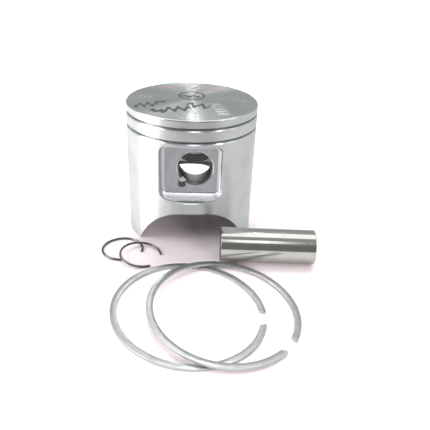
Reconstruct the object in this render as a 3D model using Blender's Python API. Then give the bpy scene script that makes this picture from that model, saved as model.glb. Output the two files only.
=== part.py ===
"""A two-stroke piston kit, laid out on a bench ready to be fitted.

The piston stands on its skirt with the pin bore running front to back. In front of it lie the wrist
pin, two round-wire circlips, one over the other, and two piston rings, the second leaning on the first.
Everything is in metres, +Z up. The layout is written with the piston's axis at x = 0, y = 0, and the last
step moves the whole kit so that the middle of its footprint is the origin.
"""

import math

import bmesh
import bpy
from mathutils import Matrix, Vector

MM = 0.001
GAP = 0.3 * MM  # left between pieces that touch

# Piston
BORE = 70.0 * MM
PISTON_R = BORE / 2
PISTON_HEIGHT = 72.8 * MM  # foot of the skirt to the crown's edge
DOME_RISE = 1.0 * MM
DOME_FLAT_R = 5.0 * MM
CROWN_CHAMFER = 0.6 * MM
CROWN_THICKNESS = 6.3 * MM
FOOT_CHAMFER = 0.4 * MM
BELT_INNER_R = 27.5 * MM  # hollow behind the ring grooves
SKIRT_INNER_R = 31.9 * MM
BELT_BOTTOM = 56.0 * MM
TAPER = 6.0 * MM
CROWN_FILLET = 7.0 * MM

# Ring grooves and the pegs that stop the rings from turning
GROOVE_CENTRES = (68.3 * MM, 61.5 * MM)
GROOVE_HEIGHT = 1.3 * MM
GROOVE_ROOT_R = 31.6 * MM
PEG_R = 0.5 * MM
PEG_LENGTH = 4.6 * MM
PEG_ROOT_R = 29.0 * MM
PEG_AZIMUTHS = (math.radians(60), math.radians(120))  # behind the piston, seen from the front

# Pin bore, bosses and the milled recess round each end of the bore
BORE_X = 2.2 * MM
BORE_Z = 45.3 * MM
BORE_R = 9.02 * MM
BOSS_R = 14.5 * MM
BOSS_INNER_Y = 14.5 * MM
CLIP_GROOVE_Y = 25.1 * MM
CLIP_GROOVE_WIDTH = 1.3 * MM
CLIP_GROOVE_R = 9.75 * MM
RECESS_HALF_WIDTH = 15.9 * MM
RECESS_BOTTOM = 29.9 * MM
RECESS_TOP = 58.7 * MM
RECESS_FLOOR_Y = 27.4 * MM
RECESS_CORNER = 4.2 * MM
RECESS_FILLET = 2.3 * MM
RECESS_WALL = 2.8 * MM
NOTCH_R = 2.1 * MM
NOTCH_REACH = 10.6 * MM
NOTCH_ANGLE = math.radians(231)
NOTCH_DEPTH = 3.2 * MM

# Arch cut in the skirt under each boss
ARCH_X = 1.2 * MM
ARCH_HEIGHT = 22.2 * MM
ARCH_HALF_WIDTH = 29.0 * MM

# Wrist pin
PIN_R = 9.0 * MM
PIN_BORE_R = 6.0 * MM
PIN_LENGTH = 49.0 * MM
PIN_CHAMFER = 1.0 * MM
PIN_AT = (40.4 * MM, -42.6 * MM)
PIN_TURN = math.radians(-2.1)

# Circlips
CLIP_WIRE_R = 0.6 * MM
CLIP_R = 10.55 * MM  # to the middle of the wire
CLIP_GAP_ANGLE = math.radians(66)
LEFT_CLIP_AT = (-35.8 * MM, -34.6 * MM)
LEFT_CLIP_TURN = math.radians(-47)  # where the gap faces
RIGHT_CLIP_AT = (-25.6 * MM, -41.2 * MM)
RIGHT_CLIP_TURN = math.radians(-25)
RIGHT_CLIP_TILT = math.radians(6.3)

# Piston rings, as they spring open when nothing holds them
RING_R = 36.05 * MM
RING_WIDTH = 3.0 * MM
RING_HEIGHT = 1.2 * MM
RING_GAP = 8.3 * MM
RING_NOTCH = (0.8 * MM, 1.4 * MM)  # how far round and how far out each end is relieved for the peg
RING_STEPS = 84
LOWER_RING_AT = (-0.1 * MM, -85.3 * MM)
LOWER_RING_GAP_AT = math.radians(-9.3)
LOWER_RING_OVAL = (0.044, math.radians(-58))
UPPER_RING_AT = (15.8 * MM, -85.9 * MM)
UPPER_RING_GAP_AT = math.radians(-39.5)
UPPER_RING_OVAL = (0.040, math.radians(-70))
UPPER_RING_TILT = math.radians(2.5)

ROUND_STEPS = 72
HOLE_STEPS = 48
OUTSIDE = 45.0 * MM  # how far a cutter reaches past the piston


def clear_scene():
    for thing in list(bpy.data.objects):
        bpy.data.objects.remove(thing, do_unlink=True)


def make_metal(name, colour, roughness):
    metal = bpy.data.materials.new(name)
    metal.use_nodes = True
    shader = metal.node_tree.nodes["Principled BSDF"]
    shader.inputs["Base Color"].default_value = (*colour, 1.0)
    shader.inputs["Metallic"].default_value = 1.0
    shader.inputs["Roughness"].default_value = roughness
    metal.diffuse_color = (*colour, 1.0)
    return metal


def add_object(name, shape, metal=None):
    """Puts a bmesh in the scene. Without a metal it is a cutter, which doesn't render."""
    bmesh.ops.recalc_face_normals(shape, faces=shape.faces)
    mesh = bpy.data.meshes.new(name)
    shape.to_mesh(mesh)
    shape.free()
    thing = bpy.data.objects.new(name, mesh)
    bpy.context.scene.collection.objects.link(thing)
    if metal:
        mesh.materials.append(metal)
        mesh.shade_smooth()
        mesh.set_sharp_from_angle(angle=math.radians(35))
    else:
        thing.hide_render = True
        thing.display_type = "WIRE"
    return thing


def boolean(thing, other, operation="DIFFERENCE"):
    step = thing.modifiers.new(other.name, "BOOLEAN")
    step.object = other
    step.operation = operation
    step.solver = "EXACT"


def turned(profile, steps=ROUND_STEPS):
    """Spins a profile of (radius, height) points round Z."""
    shape = bmesh.new()
    points = [shape.verts.new((radius, 0.0, height)) for radius, height in profile]
    edges = [shape.edges.new(pair) for pair in zip(points, points[1:])]
    bmesh.ops.spin(
        shape,
        geom=points + edges,
        cent=(0, 0, 0),
        axis=(0, 0, 1),
        angle=math.tau,
        steps=steps,
        use_merge=True,
    )
    bmesh.ops.remove_doubles(shape, verts=shape.verts, dist=1e-7)
    return shape


def extruded(outline, near_y, far_y):
    """A flat outline of (x, z) points, carried from near_y to far_y."""
    shape = bmesh.new()
    face = shape.faces.new([shape.verts.new((x, near_y, z)) for x, z in outline])
    moved = bmesh.ops.extrude_face_region(shape, geom=[face])
    ends = [item for item in moved["geom"] if isinstance(item, bmesh.types.BMVert)]
    bmesh.ops.translate(shape, verts=ends, vec=(0, far_y - near_y, 0))
    return shape


def rod(radius, near, far, steps=HOLE_STEPS):
    """A plain cylinder between two points."""
    near, far = Vector(near), Vector(far)
    turn = (far - near).to_track_quat("Z", "Y").to_matrix().to_4x4()
    shape = bmesh.new()
    bmesh.ops.create_cone(
        shape,
        cap_ends=True,
        segments=steps,
        radius1=radius,
        radius2=radius,
        depth=(far - near).length,
        matrix=Matrix.Translation((near + far) / 2) @ turn,
    )
    return shape


def arc(centre, radius, start, end, steps):
    """Points along an arc, both ends included."""
    angles = [start + (end - start) * i / steps for i in range(steps + 1)]
    return [(centre[0] + radius * math.cos(a), centre[1] + radius * math.sin(a)) for a in angles]


def rounded_rectangle(low_x, high_x, low_z, high_z, radius, steps=5):
    corners = (
        ((high_x - radius, high_z - radius), 0.0),
        ((low_x + radius, high_z - radius), 0.5 * math.pi),
        ((low_x + radius, low_z + radius), math.pi),
        ((high_x - radius, low_z + radius), 1.5 * math.pi),
    )
    outline = []
    for centre, start in corners:
        outline += arc(centre, radius, start, start + 0.5 * math.pi, steps)
    return outline


def bezier(points, steps):
    """Points along a cubic Bezier curve."""
    a, b, c, d = points
    curve = []
    for i in range(steps + 1):
        t = i / steps
        s = 1 - t
        weights = (s**3, 3 * s * s * t, 3 * s * t * t, t**3)
        curve.append(tuple(sum(w * p[k] for w, p in zip(weights, points)) for k in (0, 1)))
    return curve


# --- piston -------------------------------------------------------------------------------------------


def crown_profile():
    """The crown from its middle to its edge: a small flat, then a shallow dome."""
    run = PISTON_R - CROWN_CHAMFER - DOME_FLAT_R
    steps = 5
    profile = [(0.0, PISTON_HEIGHT + DOME_RISE)]
    for i in range(steps + 1):
        t = i / steps
        profile.append((DOME_FLAT_R + run * t, PISTON_HEIGHT + DOME_RISE * (1 - t * t)))
    return profile


def outer_profile():
    profile = crown_profile() + [(PISTON_R, PISTON_HEIGHT - CROWN_CHAMFER)]
    for centre in GROOVE_CENTRES:
        top, bottom = centre + GROOVE_HEIGHT / 2, centre - GROOVE_HEIGHT / 2
        profile += [(PISTON_R, top), (GROOVE_ROOT_R, top), (GROOVE_ROOT_R, bottom), (PISTON_R, bottom)]
    profile += [(PISTON_R, FOOT_CHAMFER), (PISTON_R - FOOT_CHAMFER, 0.0), (0.0, 0.0)]
    return profile


def hollow_profile():
    ceiling = PISTON_HEIGHT - CROWN_THICKNESS
    corner = arc(
        (BELT_INNER_R - CROWN_FILLET, ceiling - CROWN_FILLET), CROWN_FILLET, math.pi / 2, 0.0, 4
    )
    skirt = [(BELT_INNER_R, BELT_BOTTOM), (SKIRT_INNER_R, BELT_BOTTOM - TAPER)]
    foot = [(SKIRT_INNER_R, FOOT_CHAMFER), (SKIRT_INNER_R + 2 * FOOT_CHAMFER, -FOOT_CHAMFER)]
    return [(0.0, ceiling)] + corner + skirt + foot + [(0.0, -FOOT_CHAMFER)]


def boss_outline():
    """Round below the bore, straight sides up into the crown."""
    lower = arc((BORE_X, BORE_Z), BOSS_R, math.pi, math.tau, 16)
    return lower + [(BORE_X + BOSS_R, PISTON_HEIGHT), (BORE_X - BOSS_R, PISTON_HEIGHT)]


def arch_outline():
    """One side as a Bezier curve from the top to the foot, then its mirror image."""
    handles = (
        (0.15 * ARCH_HALF_WIDTH, ARCH_HEIGHT),
        (0.66 * ARCH_HALF_WIDTH, ARCH_HEIGHT),
        (0.86 * ARCH_HALF_WIDTH, 0.42 * ARCH_HEIGHT),
        (ARCH_HALF_WIDTH, 0.0),
    )
    side = bezier(handles, 12) + [(ARCH_HALF_WIDTH, -FOOT_CHAMFER)]
    right = [(ARCH_X + x, z) for x, z in side]
    left = [(ARCH_X - x, z) for x, z in reversed(side)]
    return right + left


def recess_cutter(side):
    outline = rounded_rectangle(
        -RECESS_HALF_WIDTH, RECESS_HALF_WIDTH, RECESS_BOTTOM, RECESS_TOP, RECESS_CORNER
    )
    shape = extruded(outline, side * RECESS_FLOOR_Y, side * OUTSIDE)
    floor = [e for e in shape.edges if all(abs(abs(v.co.y) - RECESS_FLOOR_Y) < 1e-6 for v in e.verts)]
    bmesh.ops.bevel(
        shape, geom=floor, offset=RECESS_FILLET, segments=3, profile=0.5, affect="EDGES"
    )
    return shape


def make_piston(metal):
    piston = add_object("piston_body", turned(outer_profile()), metal)
    core = add_object("core_hollow", turned(hollow_profile()))
    backing = rounded_rectangle(
        -RECESS_HALF_WIDTH - RECESS_WALL,
        RECESS_HALF_WIDTH + RECESS_WALL,
        RECESS_BOTTOM - RECESS_WALL,
        RECESS_TOP + RECESS_WALL,
        RECESS_CORNER + RECESS_WALL,
    )
    for side, word in ((-1, "front"), (1, "rear")):
        boss = add_object(f"boss_{word}", extruded(boss_outline(), side * BOSS_INNER_Y, side * OUTSIDE))
        wall = add_object(
            f"recess_wall_{word}",
            extruded(backing, side * (RECESS_FLOOR_Y - RECESS_WALL), side * OUTSIDE),
        )
        boolean(core, boss)
        boolean(core, wall)
    boolean(piston, core)
    boolean(piston, add_object("skirt_arches", extruded(arch_outline(), -OUTSIDE, OUTSIDE)))
    for side, word in ((-1, "front"), (1, "rear")):
        boolean(piston, add_object(f"recess_{word}", recess_cutter(side)))
    bore = rod(BORE_R, (BORE_X, -OUTSIDE, BORE_Z), (BORE_X, OUTSIDE, BORE_Z))
    boolean(piston, add_object("pin_bore", bore))
    for side, word in ((-1, "front"), (1, "rear")):
        near = side * (CLIP_GROOVE_Y - CLIP_GROOVE_WIDTH / 2)
        far = side * (CLIP_GROOVE_Y + CLIP_GROOVE_WIDTH / 2)
        groove = rod(CLIP_GROOVE_R, (BORE_X, near, BORE_Z), (BORE_X, far, BORE_Z))
        boolean(piston, add_object(f"clip_groove_{word}", groove))
        x = BORE_X + NOTCH_REACH * math.cos(NOTCH_ANGLE)
        z = BORE_Z + NOTCH_REACH * math.sin(NOTCH_ANGLE)
        floor = side * (RECESS_FLOOR_Y - NOTCH_DEPTH)
        notch = rod(NOTCH_R, (x, floor, z), (x, side * OUTSIDE, z), 20)
        boolean(piston, add_object(f"clip_notch_{word}", notch))
    for height, azimuth, word in zip(GROOVE_CENTRES, PEG_AZIMUTHS, ("upper", "lower")):
        way = Vector((math.cos(azimuth), math.sin(azimuth), 0))
        root = way * (PEG_ROOT_R - GAP) + Vector((0, 0, height))
        mouth = way * (GROOVE_ROOT_R + 0.5 * MM) + Vector((0, 0, height))
        boolean(piston, add_object(f"peg_hole_{word}", rod(PEG_R + GAP, root, mouth, 16)))
    return piston


def make_peg(word, height, azimuth, metal):
    """A plain dowel pressed into the groove's root. It stops short of the piston's outside."""
    way = Vector((math.cos(azimuth), math.sin(azimuth), 0))
    lift = Vector((0, 0, height))
    dowel = rod(PEG_R, way * PEG_ROOT_R + lift, way * (PEG_ROOT_R + PEG_LENGTH) + lift, 16)
    return add_object(f"ring_peg_{word}", dowel, metal)


# --- loose pieces -------------------------------------------------------------------------------------


def make_wrist_pin(metal):
    """Turned about Z, then laid along its own line on the bench."""
    half = PIN_LENGTH / 2
    mouth = PIN_BORE_R + 0.5 * PIN_CHAMFER
    profile = [
        (PIN_BORE_R, half - 0.5 * PIN_CHAMFER),
        (mouth, half),
        (PIN_R - 0.5 * PIN_CHAMFER, half),
        (PIN_R, half - PIN_CHAMFER),
        (PIN_R, PIN_CHAMFER - half),
        (PIN_R - 0.5 * PIN_CHAMFER, -half),
        (mouth, -half),
        (PIN_BORE_R, 0.5 * PIN_CHAMFER - half),
    ]
    pin = add_object("wrist_pin", turned(profile + profile[:1]), metal)
    pin.location = (*PIN_AT, PIN_R)
    pin.rotation_euler = (0, math.pi / 2, PIN_TURN)
    return pin


def make_circlip(name, at, turn, tilt, height, metal):
    """Round wire bent to most of a circle. It tips down towards its gap by the tilt."""
    steps = 44
    sweep = math.tau - CLIP_GAP_ANGLE
    wire = bpy.data.curves.new(name, "CURVE")
    wire.dimensions = "3D"
    wire.bevel_depth = CLIP_WIRE_R
    wire.bevel_resolution = 3
    wire.use_fill_caps = True
    spline = wire.splines.new("POLY")
    spline.points.add(steps)
    for i, point in enumerate(spline.points):
        angle = CLIP_GAP_ANGLE / 2 + sweep * i / steps
        point.co = (CLIP_R * math.cos(angle), CLIP_R * math.sin(angle), 0, 1)
        point.radius = 1.0
    wire.materials.append(metal)
    clip = bpy.data.objects.new(name, wire)
    bpy.context.scene.collection.objects.link(clip)
    clip.matrix_world = (
        Matrix.Translation((*at, height)) @ Matrix.Rotation(turn, 4, "Z") @ Matrix.Rotation(tilt, 4, "Y")
    )
    return clip


def ring_radius(angle, oval):
    """Outer radius of a free ring, which springs out a little oval."""
    amount, long_way = oval
    return RING_R * (1 + amount * math.cos(2 * (angle - long_way)))


def ring_outline(gap_at, oval):
    """Plan view of an open ring: out along the outer edge, back along the inner one."""
    half_gap = RING_GAP / 2 / RING_R
    step_round = RING_NOTCH[0] / RING_R
    start, end = gap_at + half_gap, gap_at + math.tau - half_gap
    outer = [start + (end - start) * i / RING_STEPS for i in range(RING_STEPS + 1)]
    span = end - start - 2 * step_round
    inner = [end - step_round - span * i / RING_STEPS for i in range(RING_STEPS + 1)]

    def at(angle, inwards):
        radius = ring_radius(angle, oval) - inwards
        return (radius * math.cos(angle), radius * math.sin(angle))

    notch_depth = RING_WIDTH - RING_NOTCH[1]
    points = [at(angle, 0.0) for angle in outer]
    points += [at(end, notch_depth), at(end - step_round, notch_depth)]
    points += [at(angle, RING_WIDTH) for angle in inner]
    points += [at(start + step_round, notch_depth), at(start, notch_depth)]
    return points


def make_ring(name, at, gap_at, oval, height, tilt, metal):
    shape = bmesh.new()
    outline = ring_outline(gap_at, oval)
    face = shape.faces.new([shape.verts.new((x, y, 0.0)) for x, y in outline])
    moved = bmesh.ops.extrude_face_region(shape, geom=[face])
    top = [item for item in moved["geom"] if isinstance(item, bmesh.types.BMVert)]
    bmesh.ops.translate(shape, verts=top, vec=(0, 0, RING_HEIGHT))
    ring = add_object(name, shape, metal)
    ring.location = (*at, height)
    ring.rotation_euler = (0, tilt, 0)
    return ring


def make_loose_pieces(pin_metal, clip_metal, ring_metal):
    make_wrist_pin(pin_metal)
    make_circlip("circlip_left", LEFT_CLIP_AT, LEFT_CLIP_TURN, 0.0, CLIP_WIRE_R, clip_metal)
    # The right circlip's two ends touch the bench, and the wire between them rides up over the left one.
    reach = CLIP_R * math.cos(CLIP_GAP_ANGLE / 2)
    raised = CLIP_WIRE_R + reach * math.sin(RIGHT_CLIP_TILT)
    make_circlip(
        "circlip_right", RIGHT_CLIP_AT, RIGHT_CLIP_TURN, RIGHT_CLIP_TILT, raised, clip_metal
    )
    make_ring(
        "ring_lower", LOWER_RING_AT, LOWER_RING_GAP_AT, LOWER_RING_OVAL, 0.0, 0.0, ring_metal
    )
    # The upper ring's right edge touches the bench, and its left side leans on the lower ring.
    lean = RING_R * math.sin(UPPER_RING_TILT)
    make_ring(
        "ring_upper", UPPER_RING_AT, UPPER_RING_GAP_AT, UPPER_RING_OVAL, lean, UPPER_RING_TILT, ring_metal
    )


def centre_kit():
    """Moves the kit so that the middle of its footprint is the origin and its feet are at z = 0."""
    bpy.context.view_layer.update()
    graph = bpy.context.evaluated_depsgraph_get()
    corners = []
    for thing in bpy.data.objects:
        if thing.hide_render:
            continue
        mesh = thing.evaluated_get(graph).to_mesh()
        corners += [thing.matrix_world @ vertex.co for vertex in mesh.vertices]
        thing.evaluated_get(graph).to_mesh_clear()
    low = [min(corner[k] for corner in corners) for k in range(3)]
    high = [max(corner[k] for corner in corners) for k in range(3)]
    middle = Vector(((low[0] + high[0]) / 2, (low[1] + high[1]) / 2, low[2]))
    for thing in bpy.data.objects:
        thing.location -= middle
    print("piston axis at", [round(-value / MM, 4) for value in middle], "mm")
    print("kit size", [round((b - a) / MM, 3) for a, b in zip(low, high)], "mm")


def main():
    clear_scene()
    piston_alloy = make_metal("piston_alloy", (0.72, 0.73, 0.74), 0.32)
    pin_steel = make_metal("pin_steel", (0.62, 0.61, 0.59), 0.08)
    wire_steel = make_metal("wire_steel", (0.30, 0.29, 0.28), 0.30)
    ring_iron = make_metal("ring_iron", (0.60, 0.61, 0.60), 0.28)
    make_piston(piston_alloy)
    for word, height, azimuth in zip(("upper", "lower"), GROOVE_CENTRES, PEG_AZIMUTHS):
        make_peg(word, height, azimuth, wire_steel)
    make_loose_pieces(pin_steel, wire_steel, ring_iron)
    centre_kit()


main()
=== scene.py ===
# %% [markdown]
# # A two-stroke piston kit on a bench
#
# This lesson builds the finished look of a motorcycle piston and the loose pieces that come in its box: a
# hollow wrist pin, two wire circlips and two piston rings. It says where every piece lies and how big it
# is, so this script only has to make each piece as fine as the real one: the edges a maker breaks with a
# file, the marks a lathe leaves, the mirror of a lapped pin. The first cell loads that plain model and
# keeps its parts, whose boxes later place the finished pieces.

# %% Load the plain model
import math

import bmesh
import bpy
from mathutils import Matrix, Vector


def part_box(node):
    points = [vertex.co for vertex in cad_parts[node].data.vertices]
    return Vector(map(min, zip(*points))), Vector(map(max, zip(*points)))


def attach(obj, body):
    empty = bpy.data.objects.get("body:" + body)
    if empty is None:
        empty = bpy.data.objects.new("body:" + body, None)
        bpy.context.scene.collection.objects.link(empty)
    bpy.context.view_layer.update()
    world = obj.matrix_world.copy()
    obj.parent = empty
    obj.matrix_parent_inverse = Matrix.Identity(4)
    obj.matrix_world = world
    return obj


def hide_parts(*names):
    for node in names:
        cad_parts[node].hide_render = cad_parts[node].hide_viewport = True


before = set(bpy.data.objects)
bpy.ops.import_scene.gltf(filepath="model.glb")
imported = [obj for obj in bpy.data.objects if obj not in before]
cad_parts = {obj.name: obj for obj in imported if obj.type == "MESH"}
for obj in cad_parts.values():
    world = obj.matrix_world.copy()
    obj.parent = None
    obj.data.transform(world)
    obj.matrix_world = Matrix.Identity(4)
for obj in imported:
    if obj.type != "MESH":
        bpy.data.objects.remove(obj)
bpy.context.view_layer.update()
MM = 0.001

# %% [markdown]
# ## Where the piston stands
#
# Nearly everything here is round, and a round thing is easiest to make about the world's own Z axis. So each
# piece is modelled at the origin, and its points are moved afterwards to the place that the plain model
# gives. The piston's axis is the middle of its box, and the box also gives its radius and its height.

# %% Read the piston's place and size
low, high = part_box("piston_body")
PISTON_AXIS = Vector(((low.x + high.x) / 2, (low.y + high.y) / 2, 0.0))
BARREL_R = (high.x - low.x) / 2
DOME_TOP = high.z
print("piston axis, mm:", [round(c / MM, 2) for c in PISTON_AXIS], "radius, mm:", round(BARREL_R / MM, 2))

# %% [markdown]
# ## The camera
#
# A camera matrix is built from three directions: where it looks, what is right and what is up. The head is
# also turned a little about its own line of sight, as it is with a camera held in the hand.

# %% Aim the camera
CAMERA_BACK = 3.8754 * 2 * BARREL_R  # in front of the piston's axis
CAMERA_UP = 2.1876 * 2 * BARREL_R
CAMERA_YAW, CAMERA_PITCH, CAMERA_ROLL = 0.0547, 0.5045, 0.0450  # radians
SENSOR_MM = 36.0
LENS_MM = 43.49

looks = Vector((
    math.sin(CAMERA_YAW) * math.cos(CAMERA_PITCH),
    math.cos(CAMERA_YAW) * math.cos(CAMERA_PITCH),
    -math.sin(CAMERA_PITCH),
))
level_right = Vector((math.cos(CAMERA_YAW), -math.sin(CAMERA_YAW), 0.0))
level_up = level_right.cross(looks)
right = math.cos(CAMERA_ROLL) * level_right + math.sin(CAMERA_ROLL) * level_up
above = math.cos(CAMERA_ROLL) * level_up - math.sin(CAMERA_ROLL) * level_right
eye = PISTON_AXIS + Vector((0.0, -CAMERA_BACK, CAMERA_UP))

camera_data = bpy.data.cameras.new("camera")
camera_data.sensor_width = SENSOR_MM
camera_data.lens = LENS_MM
camera_data.clip_start = 5.0 * MM  # a lifted ring comes close
camera = bpy.data.objects.new("camera", camera_data)
camera.matrix_world = Matrix((
    (right.x, above.x, -looks.x, eye.x),
    (right.y, above.y, -looks.y, eye.y),
    (right.z, above.z, -looks.z, eye.z),
    (0.0, 0.0, 0.0, 1.0),
))
bpy.context.scene.collection.objects.link(camera)
bpy.context.scene.camera = camera
print("camera is", round((eye - PISTON_AXIS).length / MM), "mm from the piston's foot")

# %% [markdown]
# ## Small helpers for shader and geometry trees
#
# A node tree written in a script is easier to read as arithmetic. `feed` puts a value into a socket: a
# plain number is set, and another node's output is linked. `calc` is one Math node, and `ramp` is a Map
# Range, which turns one span of values into another and holds still outside it. `reach_of` is the distance
# of a point from an upright axis. `new_tree` makes a node group with named inputs, the way a good group
# looks in the add menu, so that one effect can serve several materials with different numbers.

# %% Tree helpers


def feed(tree, value, socket):
    if isinstance(value, bpy.types.NodeSocket):
        tree.links.new(value, socket)
    else:
        socket.default_value = value


def add(tree, kind, inputs=(), **settings):
    """A node with its settings, and its inputs fed by name or by number."""
    made = tree.nodes.new(kind)
    for key, value in settings.items():
        setattr(made, key, value)
    for key, value in dict(inputs).items():
        feed(tree, value, made.inputs[key])
    return made


def calc(tree, operation, *values):
    return add(tree, "ShaderNodeMath", enumerate(values), operation=operation).outputs[0]


def ramp(tree, value, start, end, low=0.0, high=1.0, shape="LINEAR"):
    """Low before the start, high after the end, and a ramp between them."""
    inputs = {0: value, 1: start, 2: end, 3: low, 4: high}
    return add(tree, "ShaderNodeMapRange", inputs, interpolation_type=shape).outputs[0]


def part_of(tree, vector, axis):
    """The x, y or z of a vector, for axis 0, 1 or 2."""
    return add(tree, "ShaderNodeSeparateXYZ", {0: vector}).outputs[axis]


def reach_of(tree, vector):
    """The distance from the Z axis."""
    flat = add(tree, "ShaderNodeVectorMath", {0: vector, 1: (1.0, 1.0, 0.0)}, operation="MULTIPLY")
    return add(tree, "ShaderNodeVectorMath", {0: flat.outputs[0]}, operation="LENGTH").outputs["Value"]


def new_tree(name, kind, inputs, outputs):
    tree = bpy.data.node_groups.new(name, kind)
    for label, socket_type, start in inputs:
        socket = tree.interface.new_socket(label, in_out="INPUT", socket_type=socket_type)
        if start is not None:
            socket.default_value = start
    for label, socket_type in outputs:
        tree.interface.new_socket(label, in_out="OUTPUT", socket_type=socket_type)
    given = tree.nodes.new("NodeGroupInput").outputs
    result = tree.nodes.new("NodeGroupOutput").inputs
    return tree, given, result


def use_group(tree, group, **inputs):
    made = tree.nodes.new("ShaderNodeGroup")
    made.node_tree = group
    for key, value in inputs.items():
        feed(tree, value, made.inputs[key.replace("_", " ").capitalize()])
    return made.outputs


print("helpers ready")

# %% [markdown]
# ## Shader group: turning marks
#
# A lathe tool leaves a fine spiral: rings on the crown, hoops down the barrel. One turn of the spiral
# looks like the next, but the tool wears, so the marks are never quite even. A one-dimensional noise does
# both. It only needs a position along the cut: the distance from the axis on the crown, the height on the
# barrel. The first noise is the marks themselves and feeds the bump. The second is much longer and says
# where the finish is a little duller.

# %% Turning marks
turning_marks, given, result = new_tree(
    "turning_marks",
    "ShaderNodeTree",
    [
        ("Position", "NodeSocketFloat", 0.0),
        ("Pitch", "NodeSocketFloat", 0.25 * MM),
        ("Band", "NodeSocketFloat", 5.0 * MM),
    ],
    [("Height", "NodeSocketFloat"), ("Dullness", "NodeSocketFloat")],
)
along = calc(turning_marks, "DIVIDE", given["Position"], given["Pitch"])
marks = add(turning_marks, "ShaderNodeTexNoise", {"W": along, "Scale": 1.0, "Detail": 3.0},
            noise_dimensions="1D")
feed(turning_marks, marks.outputs[0], result["Height"])
far_along = calc(turning_marks, "DIVIDE", given["Position"], given["Band"])
bands = add(turning_marks, "ShaderNodeTexNoise", {"W": far_along, "Scale": 1.0, "Detail": 2.0},
            noise_dimensions="1D")
feed(turning_marks, bands.outputs[0], result["Dullness"])
print("group", turning_marks.name)

# %% [markdown]
# ## Shader group: handling
#
# New engine parts are clean but have been held, oiled and wiped. That shows as soft patches that are a
# touch duller, and as short fine scratches. The group gives one mask from 0 to 1: a cloudy noise for the
# patches, with a second noise stretched along one direction for the wipe marks.

# %% Handling
WIPE_TURN = (0.3, 0.2, 0.7)  # radians
WIPE_STRETCH = (1.0, 26.0, 9.0)

handling, given, result = new_tree(
    "handling",
    "ShaderNodeTree",
    [
        ("Vector", "NodeSocketVector", None),
        ("Patch", "NodeSocketFloat", 14.0 * MM),
        ("Scratch", "NodeSocketFloat", 0.35),
    ],
    [("Mask", "NodeSocketFloat")],
)
patch_scale = calc(handling, "DIVIDE", 1.0, given["Patch"])
clouds = add(handling, "ShaderNodeTexNoise",
             {"Vector": given["Vector"], "Scale": patch_scale, "Detail": 3.0, "Roughness": 0.6})
stretched = add(handling, "ShaderNodeMapping",
                {"Vector": given["Vector"], "Rotation": WIPE_TURN, "Scale": WIPE_STRETCH})
wiped = add(handling, "ShaderNodeTexNoise",
            {"Vector": stretched.outputs[0], "Scale": patch_scale, "Detail": 5.0})
scratches = ramp(handling, wiped.outputs[0], 0.58, 0.72, 0.0, given["Scratch"])
patches = ramp(handling, clouds.outputs[0], 0.35, 0.75)
feed(handling, calc(handling, "MAXIMUM", scratches, patches), result["Mask"])
print("group", handling.name)

# %% [markdown]
# ## Shader group: cast grain
#
# Inside, the piston is left as it came from the mould: matt, with a soft pebbly skin and a colour that
# drifts over a larger distance. So the group holds two noises of different size: the fine one is a height
# for the bump, and the wide one a mask for the colour.

# %% Cast grain
MOTTLE_TO_PEBBLE = 9.0

cast_grain, given, result = new_tree(
    "cast_grain",
    "ShaderNodeTree",
    [("Vector", "NodeSocketVector", None), ("Pebble", "NodeSocketFloat", 1.1 * MM)],
    [("Height", "NodeSocketFloat"), ("Mottle", "NodeSocketFloat")],
)
grain_scale = calc(cast_grain, "DIVIDE", 1.0, given["Pebble"])
pebbles = add(cast_grain, "ShaderNodeTexNoise",
              {"Vector": given["Vector"], "Scale": grain_scale, "Detail": 4.0, "Roughness": 0.6})
feed(cast_grain, pebbles.outputs[0], result["Height"])
wide_scale = calc(cast_grain, "DIVIDE", grain_scale, MOTTLE_TO_PEBBLE)
wide = add(cast_grain, "ShaderNodeTexNoise",
           {"Vector": given["Vector"], "Scale": wide_scale, "Detail": 2.0})
feed(cast_grain, wide.outputs[0], result["Mottle"])
print("group", cast_grain.name)

# %% [markdown]
# ## Shader groups: marks written on the crown
#
# A stocked piston carries marks: a loop and a few strokes in black marker, a line of red ink, tiny pale
# dashes struck by a machine. Here they are plain shapes with no letters. The first two groups measure how
# far a point of the crown is from an ideal line and answer 1 on the ink and 0 off it, with a soft edge.
# `hoop` is a circle, and `wave` a wavy stroke between two ends, which is what quick writing comes down to.
# `dashes` is a row of short bars with hard edges, as a stamp leaves them.

# %% Hoop and wave
SOFT_EDGE = 0.25 * MM


def ink_edge(tree, distance, half_width):
    """1 within half the line's width, falling to 0 over the soft edge."""
    return ramp(tree, distance, half_width, calc(tree, "ADD", half_width, SOFT_EDGE), 1.0, 0.0)


hoop, given, result = new_tree(
    "hoop",
    "ShaderNodeTree",
    [
        ("Vector", "NodeSocketVector", None),
        ("Radius", "NodeSocketFloat", 6.0 * MM),
        ("Half width", "NodeSocketFloat", 0.35 * MM),
    ],
    [("Ink", "NodeSocketFloat")],
)
off_line = calc(hoop, "ABSOLUTE", calc(hoop, "SUBTRACT", reach_of(hoop, given["Vector"]), given["Radius"]))
feed(hoop, ink_edge(hoop, off_line, given["Half width"]), result["Ink"])

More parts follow.
